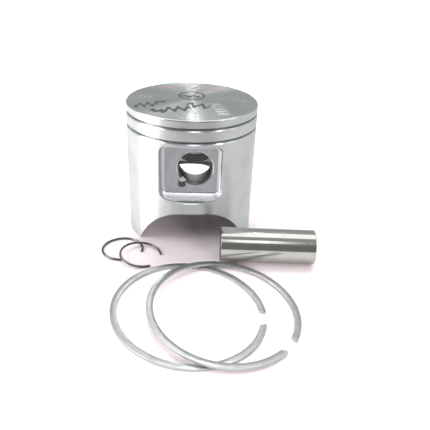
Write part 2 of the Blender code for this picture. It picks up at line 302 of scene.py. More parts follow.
wave, given, result = new_tree(
    "wave",
    "ShaderNodeTree",
    [
        ("Vector", "NodeSocketVector", None),
        ("Half length", "NodeSocketFloat", 5.0 * MM),
        ("Swing", "NodeSocketFloat", 1.5 * MM),
        ("Wavelength", "NodeSocketFloat", 3.0 * MM),
        ("Half width", "NodeSocketFloat", 0.5 * MM),
    ],
    [("Ink", "NodeSocketFloat")],
)
place = add(wave, "ShaderNodeSeparateXYZ", {0: given["Vector"]}).outputs
turns = calc(wave, "DIVIDE", calc(wave, "MULTIPLY", place[0], math.tau), given["Wavelength"])
middle = calc(wave, "MULTIPLY", calc(wave, "SINE", turns), given["Swing"])
off_line = calc(wave, "ABSOLUTE", calc(wave, "SUBTRACT", place[1], middle))
past_end = calc(wave, "SUBTRACT", calc(wave, "ABSOLUTE", place[0]), given["Half length"])
feed(wave, ink_edge(wave, calc(wave, "MAXIMUM", off_line, past_end), given["Half width"]), result["Ink"])
print("groups", hoop.name, wave.name)

# %% Dashes
dashes, given, result = new_tree(
    "dashes",
    "ShaderNodeTree",
    [
        ("Vector", "NodeSocketVector", None),
        ("Half length", "NodeSocketFloat", 10.0 * MM),
        ("Half height", "NodeSocketFloat", 0.7 * MM),
        ("Spacing", "NodeSocketFloat", 1.6 * MM),
        ("Share", "NodeSocketFloat", 0.6),
    ],
    [("Ink", "NodeSocketFloat")],
)
place = add(dashes, "ShaderNodeSeparateXYZ", {0: given["Vector"]}).outputs
step_at = calc(dashes, "FRACT", calc(dashes, "DIVIDE", place[0], given["Spacing"]))
bar = calc(dashes, "LESS_THAN", step_at, given["Share"])
inside_length = calc(dashes, "LESS_THAN", calc(dashes, "ABSOLUTE", place[0]), given["Half length"])
inside_height = calc(dashes, "LESS_THAN", calc(dashes, "ABSOLUTE", place[1]), given["Half height"])
box_mask = calc(dashes, "MULTIPLY", inside_length, inside_height)
feed(dashes, calc(dashes, "MULTIPLY", bar, box_mask), result["Ink"])
print("group", dashes.name)

# %% [markdown]
# ## The metals
#
# Every piece here is bare metal, so what tells them apart is how they were finished. All of them start from
# the same Principled shader with Metallic at 1. A turned face is streaky: it blurs a reflection across the
# tool marks but not along them, which is what Anisotropic does, with a Tangent that runs round the axis.
# Colours, roughness and bump come from the groups above, read in Object coordinates, which are metres
# here. A finish that scatters light, such as a milled or cast one, gets a lower Metallic further on.

# %% Shared start of a metal


STREAKS_ALONG = 0.25  # a quarter turn, so that a streak follows the tool's path


def new_metal(name, colour, roughness, streak=0.0, round_axis="Z"):
    """A metal material, its tree and its shader node. A streak above 0 runs round the given axis."""
    material = bpy.data.materials.new(name)
    material.use_nodes = True
    tree = material.node_tree
    shader = tree.nodes["Principled BSDF"]
    shader.inputs["Base Color"].default_value = (*colour, 1.0)
    shader.inputs["Metallic"].default_value = 1.0
    shader.inputs["Roughness"].default_value = roughness
    if streak:
        shader.inputs["Anisotropic"].default_value = streak
        shader.inputs["Anisotropic Rotation"].default_value = STREAKS_ALONG
        tangent = add(tree, "ShaderNodeTangent", direction_type="RADIAL", axis=round_axis)
        feed(tree, tangent.outputs[0], shader.inputs["Tangent"])
    return material, tree, shader


def measured_from(tree, origin):
    """Object coordinates counted from a point, in metres."""
    place = add(tree, "ShaderNodeTexCoord").outputs["Object"]
    return add(tree, "ShaderNodeVectorMath", {0: place, 1: origin}, operation="SUBTRACT").outputs[0]


def vary(tree, shader, mask, low_roughness, high_roughness):
    feed(tree, ramp(tree, mask, 0.0, 1.0, low_roughness, high_roughness), shader.inputs["Roughness"])


def tint(tree, mask, colour, other, shader):
    """The base colour where the mask is 0, and the other colour where it is 1."""
    mixed = add(tree, "ShaderNodeMix", {"Factor": mask}, data_type="RGBA")
    mixed.inputs[6].default_value = (*colour, 1.0)
    mixed.inputs[7].default_value = (*other, 1.0)
    feed(tree, mixed.outputs[2], shader.inputs["Base Color"])
    return mixed


def emboss(tree, height, shader, distance):
    bump = add(tree, "ShaderNodeBump", {"Height": height, "Distance": distance})
    feed(tree, bump.outputs[0], shader.inputs["Normal"])


print("metal helpers ready")

# %% [markdown]
# ### Turned alloy of the barrel and of the crown
#
# Both are cut on the lathe, but the tool moves down the barrel and across the crown, so one reads its
# marks from the height and the other from the distance to the axis. Where the tool was a little blunt and
# where a hand has been, both are rougher, so the two masks are added.

# %% Barrel, and the bare crown
ALLOY = (0.785, 0.80, 0.805)
ALLOY_DULL = (0.70, 0.715, 0.72)


def dullness(tree, turned, held):
    worn_tool = calc(tree, "MULTIPLY", turned["Dullness"], 0.6)
    return calc(tree, "ADD", worn_tool, calc(tree, "MULTIPLY", held["Mask"], 0.4))


barrel_metal, tree, shader = new_metal("turned_barrel", ALLOY, 0.34, streak=0.95)
vector = measured_from(tree, PISTON_AXIS)
turned = use_group(tree, turning_marks, position=part_of(tree, vector, 2), pitch=0.22 * MM, band=6.0 * MM)
held = use_group(tree, handling, vector=vector, patch=16.0 * MM, scratch=0.3)
vary(tree, shader, dullness(tree, turned, held), 0.27, 0.42)
tint(tree, held["Mask"], ALLOY, ALLOY_DULL, shader)
emboss(tree, turned["Height"], shader, 0.004 * MM)

crown_metal, tree, shader = new_metal("turned_crown", ALLOY, 0.32, streak=0.95)
vector = measured_from(tree, PISTON_AXIS)
turned = use_group(tree, turning_marks, position=reach_of(tree, vector), pitch=0.5 * MM, band=4.0 * MM)
held = use_group(tree, handling, vector=vector, patch=12.0 * MM, scratch=0.35)
bare_dull = dullness(tree, turned, held)
bare_colour = tint(tree, held["Mask"], ALLOY, ALLOY_DULL, shader).outputs[2]
emboss(tree, turned["Height"], shader, 0.0003 * MM)
print("materials", barrel_metal.name, crown_metal.name)

# %% [markdown]
# ### The marks on the crown
#
# Each mark is drawn in a little plane of its own: the crown's plane, counted from the mark's middle and
# turned to lie along it. So a stroke needs only its place, its turn and its sizes, and a row of them is a
# list and a comprehension. Marks of one ink are joined by taking the larger of their masks. The biggest
# mark is a hoop with one low ripple inside, and it is squeezed sideways a little.

# %% Marker strokes, red rows and pale hatching
HOOP_AT, HOOP_R, HOOP_HALF_WIDTH, HOOP_SQUEEZE = (-0.2, 4.0), 7.4, 0.7, 1.12

# each: x, y, turn in degrees, half length, swing, wavelength, half width; the rest in millimetres
MARKER_STROKES = (
    (-0.6, 3.2, 6, 3.6, 1.1, 4.8, 1.2),
    (-23.4, -12.2, 8, 4.2, 2.2, 4.1, 1.9),
    (-16.2, -7.6, 6, 1.4, 0.0, 3.0, 1.3),
    (-16.8, -21.6, -14, 2.4, 0.8, 4.0, 1.7),
    (-7.8, -18.8, 10, 5.4, 2.2, 4.9, 1.9),
    (3.1, -12.8, -16, 4.2, 2.4, 5.6, 1.8),
)

# each: x, y, turn in degrees, half length, half height, spacing, and the bar's share of the spacing
RED_ROWS = (
    (-11.0, 20.4, 0, 8.6, 1.3, 1.9, 0.66),
    (11.2, 17.2, 2, 7.2, 1.4, 1.7, 0.7),
)
PALE_ROWS = (
    (-25.4, 2.0, -7, 4.0, 2.2, 2.6, 0.35),
    (25.1, -0.8, -16, 3.6, 1.0, 2.2, 0.4),
    (13.9, -16.3, -76, 9.0, 2.9, 3.4, 0.55),
)


def placed(tree, vector, x, y, turn=0.0, squeeze=1.0):
    """The crown's plane counted from a mark's own middle. A squeeze above 1 makes the mark narrower."""
    moved = add(tree, "ShaderNodeVectorMath", {0: vector, 1: (x * MM, y * MM, 0.0)}, operation="SUBTRACT")
    turned_back = add(tree, "ShaderNodeMapping", {
        0: moved.outputs[0],
        2: (0.0, 0.0, -math.radians(turn)),
        3: (squeeze, 1.0, 1.0),
    })
    return turned_back.outputs[0]


def joined(tree, masks):
    together = masks[0]
    for mask in masks[1:]:
        together = calc(tree, "MAXIMUM", together, mask)
    return together


def dash_rows(tree, vector, rows):
    return joined(tree, [
        use_group(tree, dashes, vector=placed(tree, vector, x, y, turn), half_length=half_length * MM,
                  half_height=half_height * MM, spacing=spacing * MM, share=share)["Ink"]
        for x, y, turn, half_length, half_height, spacing, share in rows
    ])


hoop_plane = placed(tree, vector, *HOOP_AT, squeeze=HOOP_SQUEEZE)
drawn_hoop = use_group(tree, hoop, vector=hoop_plane, radius=HOOP_R * MM, half_width=HOOP_HALF_WIDTH * MM)
strokes = [
    use_group(tree, wave, vector=placed(tree, vector, x, y, turn), half_length=half_length * MM,
              swing=swing * MM, wavelength=wavelength * MM, half_width=half_width * MM)["Ink"]
    for x, y, turn, half_length, swing, wavelength, half_width in MARKER_STROKES
]
black_ink = joined(tree, [drawn_hoop["Ink"], *strokes])
red_ink = dash_rows(tree, vector, RED_ROWS)
print("marks:", len(strokes) + 1, "in marker,", len(RED_ROWS), "rows in red,", len(PALE_ROWS), "pale patches")

# %% [markdown]
# ### Laying the marks on the metal
#
# The pale bars are not paint but peened metal, and worn ones, so a fine noise breaks them up. Then each
# mark is mixed over the bare colour in turn. Ink isn't metal: where it lies, Metallic falls and the ink's
# own colour shows from every side.

# %% Crown with its marks
PEENED = (0.85, 0.86, 0.88)
MARKER_RED = (0.62, 0.20, 0.22)
MARKER_BLACK = (0.035, 0.035, 0.045)
WEAR_GRAIN = 0.7 / MM
THIN_INK = 0.45  # how much of a red or pale mark hides the metal
FULL_INK = 0.95

worn = add(tree, "ShaderNodeTexNoise", {"Vector": vector, "Scale": WEAR_GRAIN}).outputs[0]
uneven = ramp(tree, worn, 0.35, 0.65, 0.1, 1.0)
pale_mark = calc(tree, "MULTIPLY", dash_rows(tree, vector, PALE_ROWS), uneven)
colour = bare_colour
for ink, paint, strength in (
    (pale_mark, PEENED, 0.6),
    (red_ink, MARKER_RED, 0.75),
    (black_ink, MARKER_BLACK, FULL_INK),
):
    layer = add(tree, "ShaderNodeMix", {"Factor": calc(tree, "MULTIPLY", ink, strength)}, data_type="RGBA")
    feed(tree, colour, layer.inputs[6])
    layer.inputs[7].default_value = (*paint, 1.0)
    colour = layer.outputs[2]
feed(tree, colour, shader.inputs["Base Color"])
light_ink = calc(tree, "MULTIPLY", joined(tree, [red_ink, pale_mark]), THIN_INK)
hidden = calc(tree, "MULTIPLY", joined(tree, [black_ink, light_ink]), FULL_INK)
feed(tree, calc(tree, "SUBTRACT", 1.0, hidden), shader.inputs["Metallic"])
vary(tree, shader, joined(tree, [bare_dull, calc(tree, "MULTIPLY", pale_mark, 1.4)]), 0.22, 0.36)
print("the crown's colour mixes", len(MARKER_STROKES) + len(RED_ROWS) + len(PALE_ROWS) + 1, "marks")

# %% [markdown]
# ### Milled, bored, burnished and cast alloy
#
# The recess round each end of the pin bore is milled flat, the bore is honed smooth, and the inside stays
# as cast. The milled face gets a faint swirl by feeding the turning marks with the distance from a point
# well off to one side, as a big cutter leaves arcs and not full circles. Two more finishes are small but
# catch the eye: the edges that a maker breaks and rubs bright, and the shelf below each recess, where a
# small cutter took the wall's belly off and left an even face. The shelf's pale colour is partly painted
# light.

# %% Milled and bored
MILLED_GREY = (0.375, 0.39, 0.405)
MILLED_DULL = (0.31, 0.325, 0.34)
CUTTER_CENTRE = Vector((60.0 * MM, 0.0, 20.0 * MM))  # from the piston's foot
milled_metal, tree, shader = new_metal("milled_recess", MILLED_GREY, 0.38)
vector = measured_from(tree, PISTON_AXIS + CUTTER_CENTRE)
reach = add(tree, "ShaderNodeVectorMath", {0: vector}, operation="LENGTH").outputs["Value"]
milled = use_group(tree, turning_marks, position=reach, pitch=0.5 * MM, band=3.0 * MM)
shader.inputs["Metallic"].default_value = 0.7
vary(tree, shader, milled["Dullness"], 0.38, 0.54)
tint(tree, milled["Dullness"], MILLED_GREY, MILLED_DULL, shader)
emboss(tree, milled["Height"], shader, 0.01 * MM)

HONED = (0.66, 0.67, 0.66)
HONED_DULL = (0.54, 0.55, 0.54)
bored_metal, tree, shader = new_metal("honed_bore", HONED, 0.22)
vector = measured_from(tree, PISTON_AXIS)
honed = use_group(tree, turning_marks, position=part_of(tree, vector, 1), pitch=0.3 * MM, band=2.0 * MM)
vary(tree, shader, honed["Dullness"], 0.16, 0.30)
tint(tree, honed["Dullness"], HONED, HONED_DULL, shader)
emboss(tree, honed["Height"], shader, 0.004 * MM)
print("materials", milled_metal.name, bored_metal.name)

# %% Burnished edges, shelf and cast inside
RUBBED_BRIGHT = (0.82, 0.85, 0.88)
edge_metal, tree, shader = new_metal("burnished_edge", RUBBED_BRIGHT, 0.2)
vector = measured_from(tree, PISTON_AXIS)
held = use_group(tree, handling, vector=vector, patch=5.0 * MM, scratch=0.5)
vary(tree, shader, held["Mask"], 0.15, 0.27)
tint(tree, held["Mask"], RUBBED_BRIGHT, ALLOY_DULL, shader)
emboss(tree, held["Mask"], shader, 0.004 * MM)

# the shelf's pale colour is partly painted light on its up-facing face
SHELF_PALE_PARTLY_PAINTED_LIGHT = (0.84, 0.88, 0.92)
SHELF_GREY = (0.76, 0.80, 0.85)
shelf_metal, tree, shader = new_metal("milled_shelf", SHELF_PALE_PARTLY_PAINTED_LIGHT, 0.3)
vector = measured_from(tree, PISTON_AXIS)
held = use_group(tree, handling, vector=vector, patch=5.0 * MM, scratch=0.1)
shader.inputs["Metallic"].default_value = 0.4
vary(tree, shader, held["Mask"], 0.24, 0.32)
tint(tree, held["Mask"], SHELF_PALE_PARTLY_PAINTED_LIGHT, SHELF_GREY, shader)

CAST = (0.43, 0.41, 0.41)
CAST_DARK = (0.34, 0.325, 0.325)
cast_metal, tree, shader = new_metal("cast_inside", CAST, 0.55)
shader.inputs["Metallic"].default_value = 0.5
vector = measured_from(tree, PISTON_AXIS)
grain = use_group(tree, cast_grain, vector=vector, pebble=0.9 * MM)
vary(tree, shader, grain["Height"], 0.45, 0.68)
tint(tree, grain["Mottle"], CAST, CAST_DARK, shader)
emboss(tree, grain["Height"], shader, 0.08 * MM)
print("materials", edge_metal.name, shelf_metal.name, cast_metal.name)

# %% [markdown]
# ### Steel and iron
#
# The wrist pin is lapped until it is a mirror, with only the faintest hoops left round it. Its bore and its
# ends are only drilled and turned, and hardening leaves them dark. The rings are iron, ground on their
# sides and brighter on the running face. The circlips are drawn spring wire, darkened by tempering.

# %% Pin metals
PIN_COLOUR = (0.68, 0.67, 0.65)
PIN_SMOKED = (0.60, 0.58, 0.55)
pin_low, pin_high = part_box("wrist_pin")
PIN_MIDDLE = (pin_low + pin_high) / 2
lapped_metal, tree, shader = new_metal("lapped_steel", PIN_COLOUR, 0.12, streak=0.9, round_axis="X")
vector = measured_from(tree, PIN_MIDDLE)
lapped = use_group(tree, turning_marks, position=part_of(tree, vector, 0), pitch=0.4 * MM, band=5.0 * MM)
held = use_group(tree, handling, vector=vector, patch=9.0 * MM, scratch=0.3)
vary(tree, shader, held["Mask"], 0.10, 0.17)
tint(tree, held["Mask"], PIN_COLOUR, PIN_SMOKED, shader)
emboss(tree, lapped["Height"], shader, 0.0006 * MM)

DRILLED = (0.24, 0.225, 0.22)
DRILLED_DARK = (0.18, 0.17, 0.165)
drilled_metal, tree, shader = new_metal("drilled_steel", DRILLED, 0.25)
vector = measured_from(tree, PIN_MIDDLE)
drilled = use_group(tree, turning_marks, position=part_of(tree, vector, 0), pitch=0.5 * MM, band=4.0 * MM)
vary(tree, shader, drilled["Dullness"], 0.22, 0.32)
tint(tree, drilled["Dullness"], DRILLED, DRILLED_DARK, shader)
emboss(tree, drilled["Height"], shader, 0.01 * MM)
print("materials", lapped_metal.name, drilled_metal.name)

# %% Wire and ring metals
WIRE = (0.22, 0.213, 0.207)
WIRE_BLUED = (0.14, 0.137, 0.14)
wire_metal, tree, shader = new_metal("spring_wire", WIRE, 0.3)
vector = measured_from(tree, PISTON_AXIS)
held = use_group(tree, handling, vector=vector, patch=3.0 * MM, scratch=0.7)
vary(tree, shader, held["Mask"], 0.24, 0.42)
tint(tree, held["Mask"], WIRE, WIRE_BLUED, shader)
emboss(tree, held["Mask"], shader, 0.01 * MM)

IRON = (0.67, 0.68, 0.675)
IRON_DULL = (0.54, 0.545, 0.54)
side_metal, tree, shader = new_metal("ground_iron", IRON, 0.4)
vector = measured_from(tree, PISTON_AXIS)
held = use_group(tree, handling, vector=vector, patch=5.0 * MM, scratch=0.6)
vary(tree, shader, held["Mask"], 0.36, 0.44)
tint(tree, held["Mask"], IRON, IRON_DULL, shader)

IRON_LAPPED = (0.68, 0.69, 0.69)
face_metal, tree, shader = new_metal("running_face", IRON_LAPPED, 0.22)
vector = measured_from(tree, PISTON_AXIS)
turned = use_group(tree, turning_marks, position=part_of(tree, vector, 2), pitch=0.15 * MM, band=1.2 * MM)
vary(tree, shader, turned["Dullness"], 0.18, 0.30)
tint(tree, turned["Dullness"], IRON_LAPPED, IRON, shader)
emboss(tree, turned["Height"], shader, 0.002 * MM)
print("materials", wire_metal.name, side_metal.name, face_metal.name)

# %% [markdown]
# ## Mesh helpers
#
# `spun` sweeps a list of radius and height points round Z, which is what a lathe does. `stacked` joins a
# pile of outlines with the same number of points into one closed cutter, which is what a cutter with a
# rounded corner needs. `carved` applies one Boolean after another and gives back a plain mesh.

# %% Mesh helpers
MERGE = 0.0001 * MM  # points closer than this are one, such as the poles of a turned body


def arc(centre, radius, start, end, steps):
    """Points along an arc, both ends included. Angles are in degrees."""
    angles = [math.radians(start + (end - start) * i / steps) for i in range(steps + 1)]
    return [(centre[0] + radius * math.cos(a), centre[1] + radius * math.sin(a)) for a in angles]


def finish_shape(name, shape):
    bmesh.ops.recalc_face_normals(shape, faces=shape.faces)
    mesh = bpy.data.meshes.new(name)
    shape.to_mesh(mesh)
    shape.free()
    thing = bpy.data.objects.new(name, mesh)
    bpy.context.scene.collection.objects.link(thing)
    return thing


def spun(name, profile, steps, axis=(0, 0, 1)):
    """A body turned from (radius, height) points round Z, or round Y with the height along Y."""
    shape = bmesh.new()
    if axis[1]:
        points = [shape.verts.new((radius, height, 0.0)) for radius, height in profile]
    else:
        points = [shape.verts.new((radius, 0.0, height)) for radius, height in profile]
    edges = [shape.edges.new(pair) for pair in zip(points, points[1:])]
    bmesh.ops.spin(shape, geom=points + edges, cent=(0, 0, 0), axis=axis, angle=math.tau, steps=steps,
                   use_merge=True)
    bmesh.ops.remove_doubles(shape, verts=shape.verts, dist=MERGE)
    return finish_shape(name, shape)


def stacked(name, layers):
    """A closed body through outlines of (x, y, z) points, one above the other."""
    shape = bmesh.new()
    rings = [[shape.verts.new(point) for point in layer] for layer in layers]
    for near, far in zip(rings, rings[1:]):
        for i in range(len(near)):
            j = (i + 1) % len(near)
            shape.faces.new((near[i], near[j], far[j], far[i]))
    shape.faces.new(rings[0])
    shape.faces.new(rings[-1])
    return finish_shape(name, shape)


def baked(thing, name):
    """The evaluated shape of an object as a plain mesh object. The first object is removed."""
    graph = bpy.context.evaluated_depsgraph_get()
    mesh = bpy.data.meshes.new_from_object(thing.evaluated_get(graph), depsgraph=graph)
    old = thing.data
    bpy.data.objects.remove(thing)
    bpy.data.meshes.remove(old)
    mesh.name = name
    made = bpy.data.objects.new(name, mesh)
    bpy.context.scene.collection.objects.link(made)
    return made


def carved(thing, tools):
    """Cuts each tool out of the thing, in order, and throws the tools away."""
    for tool in tools:
        step = thing.modifiers.new(tool.name, "BOOLEAN")
        step.object = tool
        step.operation = "DIFFERENCE"
        step.solver = "EXACT"
    made = baked(thing, thing.name)
    for tool in tools:
        bpy.data.objects.remove(tool)
    return made


print("mesh helpers ready")

# %% [markdown]
# ## The piston: outside
#
# The outside is one turned profile from the middle of the crown to the foot of the skirt. The crown is a
# shallow dome that is a true flat only in the middle. The crown's edge is chamfered, and every groove has
# a fine broken edge above and a wider one below, because a sharp one would scrape oil. Those small faces
# catch the light as thin bright lines, so they are worth modelling.

# %% Outer profile
DOME_RISE = 1.0 * MM
CROWN_EDGE = DOME_TOP - DOME_RISE
CROWN_CHAMFER = 0.6 * MM
FLAT_R = 5.0 * MM
GROOVES = (68.3 * MM, 61.5 * MM)
GROOVE_HALF = 0.65 * MM
GROOVE_ROOT = 31.6 * MM
BROKEN = 0.14 * MM
LIP = 0.42 * MM  # the chamfer below each groove
FOOT_CHAMFER = 0.4 * MM

DOME_STEPS = 24
TURNED_STEPS = 240  # round the piston

outer = [(0.0, DOME_TOP)]
dome_run = BARREL_R - CROWN_CHAMFER - FLAT_R
for i in range(DOME_STEPS + 1):
    share = i / DOME_STEPS
    outer.append((FLAT_R + dome_run * share, CROWN_EDGE + DOME_RISE * (1 - share * share)))
outer += [  # the chamfer, with both its corners rounded a little
    (BARREL_R - 0.45 * CROWN_CHAMFER, CROWN_EDGE - 0.35 * CROWN_CHAMFER),
    (BARREL_R - 0.12 * CROWN_CHAMFER, CROWN_EDGE - 0.75 * CROWN_CHAMFER),
    (BARREL_R, CROWN_EDGE - 1.2 * CROWN_CHAMFER),
]
for centre in GROOVES:
    top, bottom = centre + GROOVE_HALF, centre - GROOVE_HALF
    outer += [
        (BARREL_R, top + BROKEN),
        (BARREL_R - BROKEN, top),
        (GROOVE_ROOT + BROKEN, top),
        (GROOVE_ROOT, top - BROKEN),
        (GROOVE_ROOT, bottom + BROKEN),
        (GROOVE_ROOT + BROKEN, bottom),
        (BARREL_R - LIP, bottom),
        (BARREL_R, bottom - 1.3 * LIP),
    ]
outer += [
    (BARREL_R, 1.4 * FOOT_CHAMFER),
    (BARREL_R - 0.3 * FOOT_CHAMFER, 0.5 * FOOT_CHAMFER),
    (BARREL_R - FOOT_CHAMFER, 0.0),
    (0.0, 0.0),
]
piston = spun("piston", outer, TURNED_STEPS)
print("turned blank:", len(piston.data.polygons), "faces")

# %% [markdown]
# ## The piston: hollow, bosses and the walls behind the recesses
#
# The inside is easiest to think of as a core, the plug that a caster puts in the mould. The core is a
# turned body too. Where the piston needs metal inside, at the two bosses that carry the wrist pin and
# behind each recess, the core is cut away. Then the core is cut out of the blank.

# %% Core
BELT_R, BELT_FOOT = 27.5 * MM, 56.0 * MM  # inside the ring belt
SKIRT_R, SKIRT_TOP = 31.9 * MM, 50.0 * MM  # inside the skirt
CROWN_WALL = 6.3 * MM
CEILING = CROWN_EDGE - CROWN_WALL
FILLET = 7.0 * MM
BORE_X, BORE_Z, BORE_R = 2.2 * MM, 45.3 * MM, 9.02 * MM
BOSS_R = 14.5 * MM
BOSS_INNER_Y = 14.5 * MM
RECESS_HALF, RECESS_LOW, RECESS_HIGH = 15.9 * MM, 29.9 * MM, 58.7 * MM
RECESS_CORNER, RECESS_FLOOR, RECESS_WALL = 4.2 * MM, 27.4 * MM, 2.8 * MM
FAR = 45.0 * MM  # past the piston's outside

core_profile = [(0.0, CEILING)]
core_profile += arc((BELT_R - FILLET, CEILING - FILLET), FILLET, 90, 0, 10)
core_profile += [(BELT_R, BELT_FOOT), (SKIRT_R, SKIRT_TOP), (SKIRT_R, FOOT_CHAMFER)]
core_profile += [(SKIRT_R + 2 * FOOT_CHAMFER, -FOOT_CHAMFER), (0.0, -FOOT_CHAMFER)]
core = spun("core", core_profile, 180)


def rounded_rectangle(half, low_z, high_z, corner, steps):
    """Points of (x, z) round a rectangle with round corners."""
    points = []
    for x, z, start in (
        (half - corner, high_z - corner, 0),
        (-half + corner, high_z - corner, 90),
        (-half + corner, low_z + corner, 180),
        (half - corner, low_z + corner, 270),
    ):
        points += arc((x, z), corner, start, start + 90, steps)
    return points


def slab(name, outline, near_y, far_y):
    return stacked(name, [[(x, y, z) for x, z in outline] for y in (near_y, far_y)])


boss_outline = arc((BORE_X, BORE_Z), BOSS_R, 180, 360, 40)
boss_outline += [(BORE_X + BOSS_R, DOME_TOP), (BORE_X - BOSS_R, DOME_TOP)]
backing_outline = rounded_rectangle(
    RECESS_HALF + RECESS_WALL, RECESS_LOW - RECESS_WALL, RECESS_HIGH + RECESS_WALL,
    RECESS_CORNER + RECESS_WALL, 8,
)
BOTH_SIDES = ((-1, "front"), (1, "rear"))
kept_metal = []
for side, word in BOTH_SIDES:
    kept_metal.append(slab(f"boss_{word}", boss_outline, side * BOSS_INNER_Y, side * FAR))
    kept_metal.append(
        slab(f"backing_{word}", backing_outline, side * (RECESS_FLOOR - RECESS_WALL), side * FAR)
    )
core = carved(core, kept_metal)
piston = carved(piston, [core])
print("hollow piston:", len(piston.data.polygons), "faces")

# %% [markdown]
# ## The piston: arches and recesses
#
# On each side two cuts are made in the round wall: the arch at the foot, which clears the crankshaft, and
# the recess round the pin bore. A maker breaks the edge where a cut meets the outside. A flat cutter can't
# do that, since the wall is round. So the cutter is stacked from outlines that each follow the wall: at
# every point the depth comes from the circle of the wall, and close to the surface the outline opens out
# along a small quarter circle.

# %% Outlines that follow the round wall
SHALLOWEST = 9.0 * MM  # the depth kept where an outline is wider than the wall
EDGE_STEPS = 5


def dotted(outline, step):
    """The outline with extra points along its straight sides, so that they can bend to a round wall."""
    points = []
    for start, end in zip(outline, outline[1:] + outline[:1]):
        parts = max(1, round(math.dist(start, end) / step))
        for i in range(parts):
            share = i / parts
            points.append((start[0] + (end[0] - start[0]) * share, start[1] + (end[1] - start[1]) * share))
    return points


def grown(outline, amount):
    """The outline moved outwards by an amount, each point along the mean of its two edges' normals."""
    moved = []
    count = len(outline)
    for i, (x, z) in enumerate(outline):
        before, after = outline[i - 1], outline[(i + 1) % count]
        along = Vector((after[0] - before[0], after[1] - before[1])).normalized()
        moved.append((x + along.y * amount, z - along.x * amount))
    return moved


def wall_depth(x):
    return math.sqrt(max(BARREL_R * BARREL_R - x * x, SHALLOWEST**2))


def window_layers(side, outline, edge):
    """Outlines that open out to the wall's outer surface along a quarter circle of the given radius."""
    layers = []
    for i in range(EDGE_STEPS + 1):
        lean = math.radians(78 * i / EDGE_STEPS)
        wider = grown(outline, edge * (1 - math.cos(lean)))
        sunk = edge * (1 - math.sin(lean))
        layers.append([(x, side * (wall_depth(x) - sunk), z) for x, z in wider])
    opened = grown(outline, edge * (1 - math.cos(lean)) + 5 * edge)
    layers.append([(x, side * (wall_depth(x) + 1.1 * edge), z) for x, z in opened])
    layers.append([(x, side * FAR, z) for x, z in opened])
    return layers


print("outlines open out in", EDGE_STEPS, "steps")

# %% Recess cutter
RECESS_EDGE = 0.7 * MM
RECESS_FILLET = 2.3 * MM
FILLET_STEPS = 8
POINT_STEP = 1.0 * MM
rectangle = rounded_rectangle(RECESS_HALF, RECESS_LOW, RECESS_HIGH, RECESS_CORNER, 10)
recess_outline = dotted(rectangle, POINT_STEP)


def recess_tool(side, word):
    """Sunk to the recess floor, with a fillet where the floor meets the walls."""
    layers = []
    for i in range(FILLET_STEPS):
        lean = math.radians(90 * i / FILLET_STEPS)
        inner = grown(recess_outline, -RECESS_FILLET * (1 - math.sin(lean)))
        depth = RECESS_FLOOR + RECESS_FILLET * (1 - math.cos(lean))
        layers.append([(x, side * depth, z) for x, z in inner])
    return stacked(f"recess_{word}", layers + window_layers(side, recess_outline, RECESS_EDGE))


print("recess outline has", len(recess_outline), "points")

# %% Arch cutter
ARCH_X, ARCH_HEIGHT, ARCH_HALF = 1.2 * MM, 22.2 * MM, 29.0 * MM
ARCH_EDGE = 0.3 * MM
ARCH_STEPS = 28
ARCH_FROM = 4.0 * MM  # where the cutter starts, inside the hollow
BELOW_FOOT = 2.0 * MM


def arch_outline():
    """A flat-topped arch: one side is a Bezier curve from the top to the foot, and the other mirrors it."""
    handles = (
        (0.15 * ARCH_HALF, ARCH_HEIGHT),
        (0.66 * ARCH_HALF, ARCH_HEIGHT),
        (0.86 * ARCH_HALF, 0.42 * ARCH_HEIGHT),
        (ARCH_HALF, 0.0),
    )
    side = []
    for i in range(ARCH_STEPS + 1):
        t = i / ARCH_STEPS
        s = 1 - t
        share = (s**3, 3 * s * s * t, 3 * s * t * t, t**3)
        side.append(tuple(sum(w * handle[k] for w, handle in zip(share, handles)) for k in (0, 1)))
    side.append((ARCH_HALF, -BELOW_FOOT))
    left = [(ARCH_X - x, z) for x, z in side]
    return [(ARCH_X + x, z) for x, z in reversed(side)] + left


def arch_tool(side, word):
    outline = arch_outline()
    inside = [[(x, side * ARCH_FROM, z) for x, z in outline]]
    return stacked(f"arch_{word}", inside + window_layers(side, outline, ARCH_EDGE))


print("arch:", round(2 * ARCH_HALF / MM), "mm wide and", round(ARCH_HEIGHT / MM, 1), "mm high")

# %% [markdown]
# ### The shelf below the recess
#
# The wall is round, so its belly stands out furthest in the middle, just below the recess. There a small
# cutter has taken it off: a low riser at the front of the recess's lower wall, and under it a sloping facet
# whose outline is a crescent, because a plane meets a cylinder in a curve.

# %% Shelf cutter, and all the cuts
SHELF_END = 33.9 * MM  # from the piston's axis
SHELF_HALF = 12.0 * MM
RISER, RISER_LEAN = 0.65 * MM, 0.24 * MM
FACET_SLOPE, FACET_LENGTH = math.radians(37.5), 4.0 * MM
ABOVE_SHELF = 1.0 * MM


def shelf_tool(side, word):
    """Takes the round wall's belly off below the recess: a low riser, then one flat facet."""
    foot = (SHELF_END + RISER_LEAN, RECESS_LOW - RISER)
    outline = [
        (SHELF_END, RECESS_LOW + ABOVE_SHELF),
        (SHELF_END, RECESS_LOW),
        foot,
        (foot[0] + FACET_LENGTH * math.sin(FACET_SLOPE), foot[1] - FACET_LENGTH * math.cos(FACET_SLOPE)),
        (FAR, RECESS_LOW + ABOVE_SHELF),
    ]
    ends = [[(x, side * y, z) for y, z in outline] for x in (-SHELF_HALF, SHELF_HALF)]
    return stacked(f"shelf_{word}", ends)


tools = [make(side, word) for make in (arch_tool, recess_tool, shelf_tool) for side, word in BOTH_SIDES]
piston = carved(piston, tools)
print("with arches and recesses:", len(piston.data.polygons), "faces")

# %% [markdown]
# ## The piston: pin bore, circlip grooves and notches
#
# One boring tool makes both bosses' holes. Its profile holds the chamfer at each mouth and the round groove
# that a circlip snaps into. The small notch beside each mouth is where a pick gets behind the wire. Last,
# each ring groove gets the hole for its peg.

# %% Bore cutter
CLIP_Y, CLIP_HALF, CLIP_GROOVE_R = 25.1 * MM, 0.65 * MM, 9.75 * MM
MOUTH = 0.55 * MM  # the chamfer at the mouth of a hole

